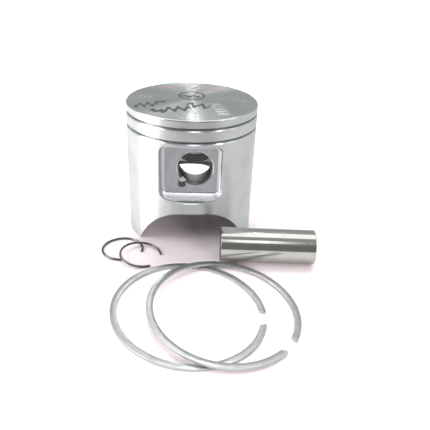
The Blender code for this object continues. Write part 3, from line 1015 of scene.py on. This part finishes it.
half_profile = [
    (BORE_R + MOUTH, BOSS_INNER_Y - MOUTH),
    (BORE_R, BOSS_INNER_Y + MOUTH),
    (BORE_R, CLIP_Y - CLIP_HALF),
]
half_profile += arc((CLIP_GROOVE_R - CLIP_HALF, CLIP_Y), CLIP_HALF, -80, 80, 8)
half_profile += [
    (BORE_R, CLIP_Y + CLIP_HALF),
    (BORE_R, RECESS_FLOOR - MOUTH),
    (BORE_R + 0.35 * MOUTH, RECESS_FLOOR - 0.35 * MOUTH),  # a slightly rounded corner
    (BORE_R + MOUTH, RECESS_FLOOR),
    (BORE_R + MOUTH, FAR),
    (0.0, FAR),
]
bore_profile = [(radius, -y) for radius, y in reversed(half_profile)] + half_profile
bore_tool = spun("bore", bore_profile, 128, axis=(0, 1, 0))
bore_tool.data.transform(Matrix.Translation((BORE_X, 0.0, BORE_Z)))
print("bore:", round(2 * BORE_R / MM, 2), "mm across")

# %% Notches, peg holes and the last cuts
NOTCH_R, NOTCH_REACH, NOTCH_DEPTH = 2.1 * MM, 10.6 * MM, 3.2 * MM
NOTCH_ANGLE = math.radians(231)
PEG_R, PEG_FIT = 0.5 * MM, 0.02 * MM
PEG_HOLE_BOTTOM = 28.7 * MM  # from the piston's axis
PEGS = tuple(zip(GROOVES, (60, 120), ("upper", "lower")))  # height, degrees round the piston, word


def rod(name, radius, start, end, steps):
    start, end = Vector(start), Vector(end)
    shape = bmesh.new()
    turn = (end - start).to_track_quat("Z", "Y").to_matrix().to_4x4()
    bmesh.ops.create_cone(shape, cap_ends=True, segments=steps, radius1=radius, radius2=radius,
                          depth=(end - start).length, matrix=Matrix.Translation((start + end) / 2) @ turn)
    return finish_shape(name, shape)


notch_x = BORE_X + NOTCH_REACH * math.cos(NOTCH_ANGLE)
notch_z = BORE_Z + NOTCH_REACH * math.sin(NOTCH_ANGLE)
notch_profile = [(0.0, RECESS_FLOOR - NOTCH_DEPTH), (NOTCH_R, RECESS_FLOOR - NOTCH_DEPTH)]
notch_profile += [(NOTCH_R, RECESS_FLOOR - MOUTH), (NOTCH_R + 0.35 * MOUTH, RECESS_FLOOR - 0.35 * MOUTH)]
notch_profile += [(NOTCH_R + MOUTH, RECESS_FLOOR), (NOTCH_R + MOUTH, FAR), (0.0, FAR)]
tools = [bore_tool]
for side, word in BOTH_SIDES:
    sided = [(radius, side * y) for radius, y in notch_profile]
    notch_tool = spun(f"notch_{word}", sided, 48, axis=(0, 1, 0))
    notch_tool.data.transform(Matrix.Translation((notch_x, 0.0, notch_z)))
    tools.append(notch_tool)
for height, degrees, word in PEGS:
    way = Vector((math.cos(math.radians(degrees)), math.sin(math.radians(degrees)), 0.0))
    lift = Vector((0.0, 0.0, height))
    mouth = way * (GROOVE_ROOT + 0.5 * MM) + lift  # a little outside the groove's root
    tools.append(rod(f"peg_hole_{word}", PEG_R + PEG_FIT, way * PEG_HOLE_BOTTOM + lift, mouth, 24))
piston = carved(piston, tools)
print("finished piston:", len(piston.data.polygons), "faces")

# %% [markdown]
# ## The piston: which surface is which
#
# The blank is one mesh, but its faces were made by different tools. Each face is sorted by where its middle
# is and which way it looks. The order of the questions matters: the ends of the bosses are asked about
# before the bore, since a big face's middle can lie in the hole. Edges that look up and outwards are
# burnished. In a recess the floor is milled and the low wall is the shelf. Of its other walls, the right one
# and the notch take the brighter bore finish, and the left one takes the darker milled finish as painted
# shade.

# %% Sort the faces
FINISHES = (barrel_metal, crown_metal, milled_metal, bored_metal, cast_metal, edge_metal, shelf_metal)
BARREL, CROWN, MILLED, BORED, CAST_SKIN, BURNISHED, SHELF = range(7)
SLACK = 0.1 * MM  # how far a face's middle may lie off its surface
HAIR = 0.02 * MM
FLAT = 0.999  # the least cosine of two directions that count as one
BELT_LOWEST = 58.0 * MM


def recess_surface(middle, normal):
    """The finish of a recess's floor, walls and notch, or None for a wall's outer side."""
    facing = normal.y * math.copysign(1.0, middle.y)
    if facing > FLAT and abs(middle.y) > RECESS_FLOOR - HAIR:
        return MILLED
    on_low_wall = normal.z > 0.3 and middle.z < RECESS_LOW + RECESS_FILLET
    if on_low_wall and abs(middle.x) < RECESS_HALF - 1.5 * MM:
        return SHELF
    if facing <= -0.2:
        return None
    in_notch = math.hypot(middle.x - notch_x, middle.z - notch_z) < NOTCH_R + 1.1 * MOUTH
    # painted shade: the left wall takes the darker milled finish, the right wall the brighter bore finish
    return BORED if middle.x > 0 or in_notch or facing > 0.85 else MILLED


def surface_of(middle, normal):
    from_bore = math.hypot(middle.x - BORE_X, middle.z - BORE_Z)
    reach = math.hypot(middle.x, middle.y)
    depth = abs(middle.y)
    outwards = (normal.x * middle.x + normal.y * middle.y) / reach
    if middle.z > CROWN_EDGE - SLACK / 2:
        return CROWN
    if abs(normal.y) > FLAT and depth < BOSS_INNER_Y + SLACK / 2:
        return CAST_SKIN
    if BORE_R + HAIR / 2 < from_bore < BORE_R + MOUTH and depth > RECESS_FLOOR - MOUTH:
        return BURNISHED
    if from_bore < CLIP_GROOVE_R + SLACK and depth > BOSS_INNER_Y - MOUTH:
        return BORED
    if reach > BARREL_R - 1.3 * MM and outwards > 0.1 and 0.2 < normal.z < 0.98:
        return BURNISHED
    at_recess = RECESS_LOW - SLACK < middle.z < RECESS_HIGH + SLACK and abs(middle.x) < RECESS_HALF + SLACK
    if at_recess and depth > RECESS_FLOOR - NOTCH_DEPTH - SLACK and reach < BARREL_R - HAIR:
        finish = recess_surface(middle, normal)
        if finish is not None:
            return finish
    if reach > GROOVE_ROOT - SLACK and (reach > BARREL_R - 0.5 * MM or middle.z > BELT_LOWEST):
        return BARREL
    return CAST_SKIN


mesh = piston.data
mesh.materials.clear()
for metal in FINISHES:
    mesh.materials.append(metal)
recess_floors = set()
for face in mesh.polygons:
    face.material_index = surface_of(face.center, face.normal)
    face.use_smooth = True
    off_floor = max(abs(abs(mesh.vertices[v].co.y) - RECESS_FLOOR) for v in face.vertices)
    if off_floor < HAIR / 4:
        face.material_index = MILLED
        recess_floors.add(face.index)
counts = [sum(face.material_index == i for face in mesh.polygons) for i in range(len(FINISHES))]
print("faces on barrel, crown, recess, bore, inside, edges, shelf:", counts)

# %% [markdown]
# ### True normals
#
# Smooth shading also needs care. A cut leaves long thin faces, and normals averaged over them would show
# as faint flats on the barrel and in the bore. Their true normals are known, because both are round, so
# they are written into the mesh. Flat faces get their own normal at every corner.

# %% Set true normals and hand the piston over
SHARP = math.radians(28)

mesh.set_sharp_from_angle(angle=SHARP)
normals = [Vector(corner.vector) for corner in mesh.corner_normals]
for face in mesh.polygons:
    middle, flat_normal = face.center, face.normal
    outward = Vector((middle.x, middle.y, 0.0)).normalized()
    from_bore = Vector((middle.x - BORE_X, 0.0, middle.z - BORE_Z)).normalized()
    for loop in face.loop_indices:
        point = mesh.vertices[mesh.loops[loop].vertex_index].co
        if face.material_index == BARREL and outward.dot(flat_normal) > FLAT:
            normals[loop] = Vector((point.x, point.y, 0.0)).normalized()
        elif face.material_index == BORED and from_bore.dot(flat_normal) < -FLAT:
            normals[loop] = -Vector((point.x - BORE_X, 0.0, point.z - BORE_Z)).normalized()
        elif face.index in recess_floors:
            normals[loop] = Vector((0.0, math.copysign(1.0, middle.y), 0.0))
        elif max(abs(c) for c in flat_normal) > 0.9995:
            normals[loop] = flat_normal.copy()
mesh.normals_split_custom_set(normals)
mesh.transform(Matrix.Translation(PISTON_AXIS))
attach(piston, "piston")
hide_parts("piston_body")
print("normals set on", len(normals), "corners")

# %% [markdown]
# ## The ring pegs
#
# A ported cylinder would catch a ring's ends, so a tiny dowel in each groove keeps the ring from turning.
# It is pressed into the root of the groove and hardly shows. Each one is turned about Z with a round nose
# and then laid out from the piston's axis, towards the rear.

# %% Pegs
PEG_START, PEG_LENGTH = 29.0 * MM, 4.6 * MM
NOSE = 0.2 * MM
peg_profile = [(0.0, PEG_LENGTH), (PEG_R - NOSE, PEG_LENGTH)]
peg_profile += arc((PEG_R - NOSE, PEG_LENGTH - NOSE), NOSE, 75, 0, 4)
peg_profile += [(PEG_R, NOSE), (PEG_R - NOSE, 0.0), (0.0, 0.0)]
for height, degrees, word in PEGS:
    peg = spun(f"peg_{word}", peg_profile, 32)
    lay_out = Matrix.Rotation(math.radians(degrees), 4, "Z") @ Matrix.Rotation(math.pi / 2, 4, "Y")
    peg.data.transform(lay_out @ Matrix.Translation((0, 0, PEG_START)))
    peg.data.transform(Matrix.Translation(PISTON_AXIS + Vector((0, 0, height))))
    peg.data.materials.append(wire_metal)
    peg.data.shade_smooth()
    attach(peg, "piston")
    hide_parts(f"ring_peg_{word}")
    print("peg", word, "at height", round(height / MM, 1), "mm")

# %% [markdown]
# ## The wrist pin
#
# The pin is a thick tube, turned, hardened and lapped. Its outside ends in a round corner, and its bore is
# opened a little at each mouth to save weight. The tube is spun about Z and then tipped over to lie along
# its own line on the bench. The lapped finish runs a little way over the corner at the right end. At the
# left end the whole corner takes the dark drilled finish as painted shade, so the ends have different limits.

# %% Wrist pin
PIN_R, PIN_BORE_R, PIN_LENGTH, PIN_CORNER = 9.0 * MM, 6.0 * MM, 49.0 * MM, 0.7 * MM
PIN_TURN = math.radians(-2.1)
# painted shade: the left limit is so small that the left end's whole corner takes the dark drilled finish
LAP_LEFT_PAINTED_SHADE, LAPPED_RIGHT = 0.05 * MM, 0.4 * MM  # how far over each end's corner the lap went
half = PIN_LENGTH / 2
one_end = [
    (PIN_BORE_R, half - 3.0 * MM),
    (PIN_BORE_R + 0.5 * MM, half - 0.5 * MM),
    (PIN_BORE_R + 0.62 * MM, half - 0.12 * MM),
    (PIN_BORE_R + 0.85 * MM, half),
    (PIN_R - PIN_CORNER, half),
]
one_end += arc((PIN_R - PIN_CORNER, half - PIN_CORNER), PIN_CORNER, 80, 0, 7)
other_end = [(radius, -height) for radius, height in reversed(one_end)]
pin_profile = one_end + other_end
pin = spun("wrist_pin_tube", pin_profile + pin_profile[:1], 256)
mesh = pin.data
mesh.materials.append(lapped_metal)
mesh.materials.append(drilled_metal)
for face in mesh.polygons:
    reach = math.hypot(face.center.x, face.center.y)
    # the left end's dark corner is painted shade
    lap_limit_or_painted_shade = LAP_LEFT_PAINTED_SHADE if face.center.z < 0 else LAPPED_RIGHT
    face.material_index = 0 if reach > PIN_R - lap_limit_or_painted_shade else 1
mesh.shade_smooth()
mesh.set_sharp_from_angle(angle=math.radians(32))
lying = Matrix.Rotation(PIN_TURN, 4, "Z") @ Matrix.Rotation(math.pi / 2, 4, "Y")
mesh.transform(Matrix.Translation(PIN_MIDDLE) @ lying)
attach(pin, "wrist_pin")
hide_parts("wrist_pin")
print("wrist pin:", round(PIN_LENGTH / MM), "mm long,", len(mesh.polygons), "faces")

# %% [markdown]
# ## Settling a piece where the plain model lies
#
# The rings and circlips are made flat about the origin, tipped and turned, and then moved so that their
# box has the same middle as the plain model's box. That way their place is read and never typed in.
#
# Both are made by node trees. `run_tree` gives an empty object the tree as a modifier, sets its inputs by
# the identifiers of their sockets, and takes the evaluated shape as a plain mesh. An input that isn't set
# keeps the tree's own value.

# %% Settle


def settle(thing, node, turn):
    """Turns the piece's own mesh, then moves it until its box is centred on the plain node's box."""
    mesh = thing.data
    mesh.transform(turn)
    corners = [vertex.co for vertex in mesh.vertices]
    own_low = Vector([min(corner[k] for corner in corners) for k in range(3)])
    own_high = Vector([max(corner[k] for corner in corners) for k in range(3)])
    low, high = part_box(node)
    mesh.transform(Matrix.Translation((low + high) / 2 - (own_low + own_high) / 2))
    misfit = max(abs(a - b) for a, b in zip(own_high - own_low, high - low))
    print(thing.name, "settled, box differs by", round(misfit / MM, 3), "mm")


def run_tree(name, tree, inputs, material):
    """Gives an empty mesh the tree with some inputs set, and bakes the result to a plain mesh object."""
    host = bpy.data.objects.new(name, bpy.data.meshes.new(name))
    bpy.context.scene.collection.objects.link(host)
    step = host.modifiers.new(name, "NODES")
    step.node_group = tree
    found = {item.name: item.identifier for item in tree.interface.items_tree if item.in_out == "INPUT"}
    for label, value in inputs.items():
        step[found[label]] = value
    step[found["Metal"]] = material
    made = baked(host, name)
    made.data.materials.clear()
    made.data.materials.append(material)
    return made


print("settle ready")

# %% [markdown]
# ## The circlips
#
# A circlip is a length of spring wire bent to most of a circle. That is a path with a round section swept
# along it, so Geometry Nodes suit it: an Arc gives the path, Curve to Mesh sweeps the section, and its
# Scale is drawn in at the two ends, where the shears leave the wire slightly rounded.

# %% Circlip tree
END_SHARE = 0.009  # how much of the wire's length is drawn in at each end
END_SIZE = 0.72

clip_tree, given, result = new_tree(
    "bent_wire",
    "GeometryNodeTree",
    [
        ("Geometry", "NodeSocketGeometry", None),
        ("Wire radius", "NodeSocketFloat", 0.6 * MM),
        ("Bend radius", "NodeSocketFloat", 10.55 * MM),
        ("Opening", "NodeSocketFloat", math.radians(66)),
        ("Points", "NodeSocketInt", 180),
        ("Metal", "NodeSocketMaterial", None),
    ],
    [("Geometry", "NodeSocketGeometry")],
)
tree = clip_tree
path = add(tree, "GeometryNodeCurveArc", {
    "Resolution": given["Points"],
    "Radius": given["Bend radius"],
    "Start Angle": calc(tree, "MULTIPLY", given["Opening"], 0.5),
    "Sweep Angle": calc(tree, "SUBTRACT", math.tau, given["Opening"]),
})
along = add(tree, "GeometryNodeSplineParameter").outputs["Factor"]
to_end = calc(tree, "MINIMUM", along, calc(tree, "SUBTRACT", 1.0, along))
drawn_in = ramp(tree, to_end, 0.0, END_SHARE, END_SIZE, 1.0, shape="SMOOTHERSTEP")
section = add(tree, "GeometryNodeCurvePrimitiveCircle", {"Resolution": 20, "Radius": 1.0})
swept = add(tree, "GeometryNodeCurveToMesh", {
    "Curve": path.outputs[0],
    "Profile Curve": section.outputs[0],
    "Scale": calc(tree, "MULTIPLY", drawn_in, given["Wire radius"]),
    "Fill Caps": True,
})
smooth = add(tree, "GeometryNodeSetShadeSmooth", {"Geometry": swept.outputs[0]})
real = add(tree, "GeometryNodeRealizeInstances", {"Geometry": smooth.outputs[0]})
painted = add(tree, "GeometryNodeSetMaterial", {"Geometry": real.outputs[0], "Material": given["Metal"]})
feed(tree, painted.outputs[0], result["Geometry"])
print("tree", clip_tree.name)

# %% Both circlips
for word, degrees, tilt in (("left", -47, 0.0), ("right", -25, 6.3)):
    clip = run_tree(f"circlip_wire_{word}", clip_tree, {}, wire_metal)
    turn = Matrix.Rotation(math.radians(degrees), 4, "Z") @ Matrix.Rotation(math.radians(tilt), 4, "Y")
    settle(clip, f"circlip_{word}", turn)
    clip.data.set_sharp_from_angle(angle=math.radians(50))
    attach(clip, f"circlip_{word}")
    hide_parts(f"circlip_{word}")

# %% [markdown]
# ## The piston rings
#
# A piston ring is cut and sprung open, and when it is free it isn't quite round. Its outline follows a
# rule: a circle whose radius grows and shrinks twice on the way round. Geometry Nodes build it from that
# rule. A line of points is bent round by angle and radius, a rectangle with slightly broken corners is
# swept along it, and two small blocks are cut away at the ends, where the ring steps over the peg in its
# groove. The two rings differ only in where their gap is, how oval they are and which way.

# %% Ring tree
ring_tree, given, result = new_tree(
    "sprung_ring",
    "GeometryNodeTree",
    [
        ("Geometry", "NodeSocketGeometry", None),
        ("Free radius", "NodeSocketFloat", 36.05 * MM),
        ("Width", "NodeSocketFloat", 3.0 * MM),
        ("Height", "NodeSocketFloat", 1.2 * MM),
        ("Gap", "NodeSocketFloat", 8.3 * MM),
        ("Gap at", "NodeSocketFloat", 0.0),
        ("Oval", "NodeSocketFloat", 0.04),
        ("Long way", "NodeSocketFloat", 0.0),
        ("Broken edge", "NodeSocketFloat", 0.08 * MM),
        ("Notch length", "NodeSocketFloat", 0.8 * MM),
        ("Notch depth", "NodeSocketFloat", 1.4 * MM),
        ("Points", "NodeSocketInt", 300),
        ("Metal", "NodeSocketMaterial", None),
    ],
    [("Geometry", "NodeSocketGeometry")],
)
tree = ring_tree
half_gap = calc(tree, "DIVIDE", calc(tree, "MULTIPLY", given["Gap"], 0.5), given["Free radius"])
start = calc(tree, "ADD", given["Gap at"], half_gap)
sweep = calc(tree, "SUBTRACT", math.tau, calc(tree, "MULTIPLY", half_gap, 2.0))


def ring_point(tree, angle, inwards):
    """A point of the ring in plan, a distance inside its outer edge."""
    twice = calc(tree, "MULTIPLY", calc(tree, "SUBTRACT", angle, given["Long way"]), 2.0)
    swell = calc(tree, "MULTIPLY_ADD", calc(tree, "COSINE", twice), given["Oval"], 1.0)
    radius = calc(tree, "SUBTRACT", calc(tree, "MULTIPLY", given["Free radius"], swell), inwards)
    x = calc(tree, "MULTIPLY", radius, calc(tree, "COSINE", angle))
    y = calc(tree, "MULTIPLY", radius, calc(tree, "SINE", angle))
    half_height = calc(tree, "MULTIPLY", given["Height"], 0.5)
    return add(tree, "ShaderNodeCombineXYZ", {0: x, 1: y, 2: half_height}).outputs[0]


line = add(tree, "GeometryNodeCurvePrimitiveLine", {"Start": (0, 0, 0), "End": (1, 0, 0)})
points = add(tree, "GeometryNodeResampleCurve", {"Curve": line.outputs[0], "Count": given["Points"]})
along = add(tree, "GeometryNodeSplineParameter").outputs["Factor"]
angle = calc(tree, "MULTIPLY_ADD", along, sweep, start)
centre_line = ring_point(tree, angle, calc(tree, "MULTIPLY", given["Width"], 0.5))
bent = add(tree, "GeometryNodeSetPosition", {"Geometry": points.outputs[0], "Position": centre_line})
upright = add(tree, "GeometryNodeSetCurveNormal", {"Curve": bent.outputs[0]}, mode="Z_UP")
section = add(tree, "GeometryNodeCurvePrimitiveQuadrilateral",
              {"Width": given["Width"], "Height": given["Height"]})
broken = add(tree, "GeometryNodeFilletCurve",
             {"Curve": section.outputs[0], "Radius": given["Broken edge"], "Count": 2}, mode="POLY")
swept = add(tree, "GeometryNodeCurveToMesh", {
    "Curve": upright.outputs[0], "Profile Curve": broken.outputs[0], "Fill Caps": True,
})
PAST_RING = 2.0 * MM  # how far a block stands out past the ring's inner edge
notches = add(tree, "GeometryNodeJoinGeometry")
for end_angle in (start, calc(tree, "ADD", start, sweep)):
    block_in = calc(tree, "SUBTRACT", given["Width"], calc(tree, "MULTIPLY", given["Notch depth"], 0.5))
    middle = ring_point(tree, end_angle, calc(tree, "ADD", block_in, PAST_RING / 2))
    size = add(tree, "ShaderNodeCombineXYZ", {
        0: calc(tree, "ADD", given["Notch depth"], PAST_RING),
        1: calc(tree, "MULTIPLY", given["Notch length"], 2.0),
        2: calc(tree, "MULTIPLY", given["Height"], 3.0),
    })
    block = add(tree, "GeometryNodeMeshCube", {"Size": size.outputs[0]})
    turn = add(tree, "ShaderNodeCombineXYZ", {2: end_angle})
    set_down = add(tree, "GeometryNodeTransform", {
        "Geometry": block.outputs[0], "Translation": middle, "Rotation": turn.outputs[0],
    })
    tree.links.new(set_down.outputs[0], notches.inputs[0])
cut = add(tree, "GeometryNodeMeshBoolean", operation="DIFFERENCE", solver="EXACT")
feed(tree, swept.outputs[0], cut.inputs[0])
feed(tree, notches.outputs[0], cut.inputs[1])
real = add(tree, "GeometryNodeRealizeInstances", {"Geometry": cut.outputs[0]})
painted = add(tree, "GeometryNodeSetMaterial", {"Geometry": real.outputs[0], "Material": given["Metal"]})
feed(tree, painted.outputs[0], result["Geometry"])
print("tree", ring_tree.name)

# %% Both rings
for word, gap_at, oval, long_way, tilt in (
    ("lower", -9.3, 0.044, -58, 0.0),
    ("upper", -39.5, 0.040, -70, 2.5),
):
    ring = run_tree(f"ring_band_{word}", ring_tree, {
        "Gap at": math.radians(gap_at),
        "Oval": oval,
        "Long way": math.radians(long_way),
    }, side_metal)
    mesh = ring.data
    mesh.materials.append(face_metal)
    for face in mesh.polygons:
        outward = Vector((face.center.x, face.center.y, 0.0)).normalized()
        face.material_index = 1 if face.normal.dot(outward) > 0.5 else 0
        face.use_smooth = abs(face.normal.z) < 0.99
    mesh.set_sharp_from_angle(angle=math.radians(50))
    settle(ring, f"ring_{word}", Matrix.Rotation(math.radians(tilt), 4, "Y"))
    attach(ring, f"ring_{word}")
    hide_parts(f"ring_{word}")

# %% [markdown]
# ## The bench, the light and the room
#
# Metal shows what is round it, so the light is set up as for a catalogue: big soft panels, and a darker side
# behind the camera. The bench is a plain pale sheet. Light Path lets it answer the camera and the metal
# differently. The camera sees it pale. In the metal it shows as a grey with painted shade and painted light:
# darker in front of the piston, as painted shade, and brighter towards the left, as painted light.

# %% Bench
BENCH_SIZE = 8.0  # metres, as are the spans below
SHEET_PALE = (0.97, 0.885, 0.90)
IN_SHADE, IN_LIGHT = -0.32, -0.15  # forwards of the piston is negative
LEFT_SPAN, RIGHT_SPAN = -0.12, 0.14
GLOW_FROM, GLOW_TO, GLOW = 0.35, 1.3, 0.93

shape = bmesh.new()
bmesh.ops.create_grid(shape, x_segments=1, y_segments=1, size=BENCH_SIZE / 2)
bench = finish_shape("bench", shape)
bench_paint = bpy.data.materials.new("bench_paint")
bench_paint.use_nodes = True
tree = bench_paint.node_tree
shader = tree.nodes["Principled BSDF"]
shader.inputs["Roughness"].default_value = 0.7
shader.inputs["Specular IOR Level"].default_value = 0.2
to_camera = add(tree, "ShaderNodeLightPath").outputs["Is Camera Ray"]
from_piston = measured_from(tree, PISTON_AXIS)
# painted shade and painted light: in reflections the bench is darker in front of the piston and brighter to
# the left
forward = ramp(tree, part_of(tree, from_piston, 1), IN_SHADE, IN_LIGHT, 0.12, 0.74)
left_painted_light = ramp(tree, part_of(tree, from_piston, 0), LEFT_SPAN, RIGHT_SPAN, 1.12, 0.66)
reflected_painted_shade = calc(tree, "MULTIPLY", forward, left_painted_light)
painted_shade_grey = add(tree, "ShaderNodeCombineXYZ", {k: reflected_painted_shade for k in range(3)})
sheet_colour = add(tree, "ShaderNodeMix", {"Factor": to_camera, 6: painted_shade_grey.outputs[0]}, data_type="RGBA")
sheet_colour.inputs[7].default_value = (*SHEET_PALE, 1.0)
feed(tree, sheet_colour.outputs[2], shader.inputs["Base Color"])
away = add(tree, "ShaderNodeVectorMath", {0: from_piston}, operation="LENGTH").outputs["Value"]
glow = ramp(tree, away, GLOW_FROM, GLOW_TO, 0.0, GLOW)
shader.inputs["Emission Color"].default_value = (1.0, 1.0, 1.0, 1.0)
feed(tree, calc(tree, "MULTIPLY", glow, to_camera), shader.inputs["Emission Strength"])
bench.data.materials.append(bench_paint)
print("bench", BENCH_SIZE, "m wide")

# %% [markdown]
# ## The panels
#
# Each has a task. The overhead one is a soft ceiling. The three small lamps at the rear are what the turned
# crown and the chamfers draw out into narrow bright streaks. The wall on the left gives the barrel its broad
# white side, and the tubes on the right a softer one.

# %% Panels
AIM = PISTON_AXIS + Vector((0.0, -0.03, 0.03))


def panel(name, azimuth, elevation, distance, width, height, brightness, colour=(1, 1, 1), glossy=True):
    """Azimuth 0 is the camera's side, and it grows towards the right."""
    light = bpy.data.lights.new(name, "AREA")
    light.shape = "RECTANGLE"
    light.size = width
    light.size_y = height
    light.energy = brightness * math.pi * width * height  # so that a panel's look doesn't hang on its size
    light.color = colour
    lamp = bpy.data.objects.new(name, light)
    a, e = math.radians(azimuth), math.radians(elevation)
    back = Vector((math.sin(a) * math.cos(e), -math.cos(a) * math.cos(e), math.sin(e)))
    lamp.location = AIM + back * distance
    lamp.rotation_mode = "QUATERNION"
    lamp.rotation_quaternion = back.to_track_quat("Z", "Y")
    lamp.visible_camera = False
    lamp.visible_glossy = glossy
    bpy.context.scene.collection.objects.link(lamp)
    print("panel", name, "at azimuth", azimuth, "elevation", elevation)


# name; azimuth and elevation in degrees; distance, width and height in metres; brightness; colour
panel("overhead", 180, 77, 1.5, 2.4, 0.95, 1.0)
panel("rear_lamp_left", 181, 58, 1.6, 0.035, 0.22, 26.0)
panel("rear_lamp_middle", 177, 58, 1.6, 0.05, 0.22, 27.0)
panel("rear_lamp_right", 173.5, 58, 1.6, 0.03, 0.22, 8.0)
panel("front_strip", 6.5, 53, 1.6, 0.4, 0.5, 1.5)
panel("left_wall", -78.5, 18, 1.5, 0.98, 1.6, 4.7, (1.0, 0.955, 0.975))
panel("right_tube", 59, 44.5, 1.6, 0.28, 0.3, 2.4)
panel("right_far_tube", 78, 32.5, 1.6, 0.3, 0.3, 2.4)
panel("right_low", 55, 10, 1.6, 0.3, 0.5, 0.8, (1.0, 0.96, 0.97))
panel("fill", 172, 62, 1.4, 1.0, 1.0, 3.8, glossy=False)
panel("under_arch", 33, 7, 0.9, 0.4, 0.2, 48.0, (1.0, 0.9, 0.92), glossy=False)

# %% [markdown]
# ## The room
#
# The room is a world with a soft gradient: dark behind the camera, lighter at the rear, above and at both
# sides. Seen straight by the camera the room is plain white instead.

# %% Room
ROOM_WHITE = 1.06
ROOM_TINT = (0.96, 1.0, 0.985, 1.0)

world = bpy.data.worlds.new("room")
world.use_nodes = True
tree = world.node_tree
background = tree.nodes["Background"]
direction = add(tree, "ShaderNodeTexCoord").outputs["Generated"]
towards_rear = ramp(tree, part_of(tree, direction, 1), -0.75, 0.35, 0.20, 0.41, shape="SMOOTHSTEP")
upwards = ramp(tree, part_of(tree, direction, 2), 0.45, 0.85, 0.0, 0.1, shape="SMOOTHSTEP")
to_a_side = calc(tree, "ABSOLUTE", part_of(tree, direction, 0))
sidewards = ramp(tree, to_a_side, 0.55, 0.95, 0.0, 0.3, shape="SMOOTHSTEP")
glow = calc(tree, "ADD", calc(tree, "ADD", towards_rear, upwards), sidewards)
background.inputs["Color"].default_value = ROOM_TINT
seen = add(tree, "ShaderNodeLightPath").outputs["Is Camera Ray"]
strength = add(tree, "ShaderNodeMix", {"Factor": seen, 2: glow, 3: ROOM_WHITE}, data_type="FLOAT")
feed(tree, strength.outputs[0], background.inputs["Strength"])
bpy.context.scene.world = world
bpy.context.scene.view_settings.view_transform = "Standard"
bpy.context.scene.view_settings.look = "None"
print("room ready")
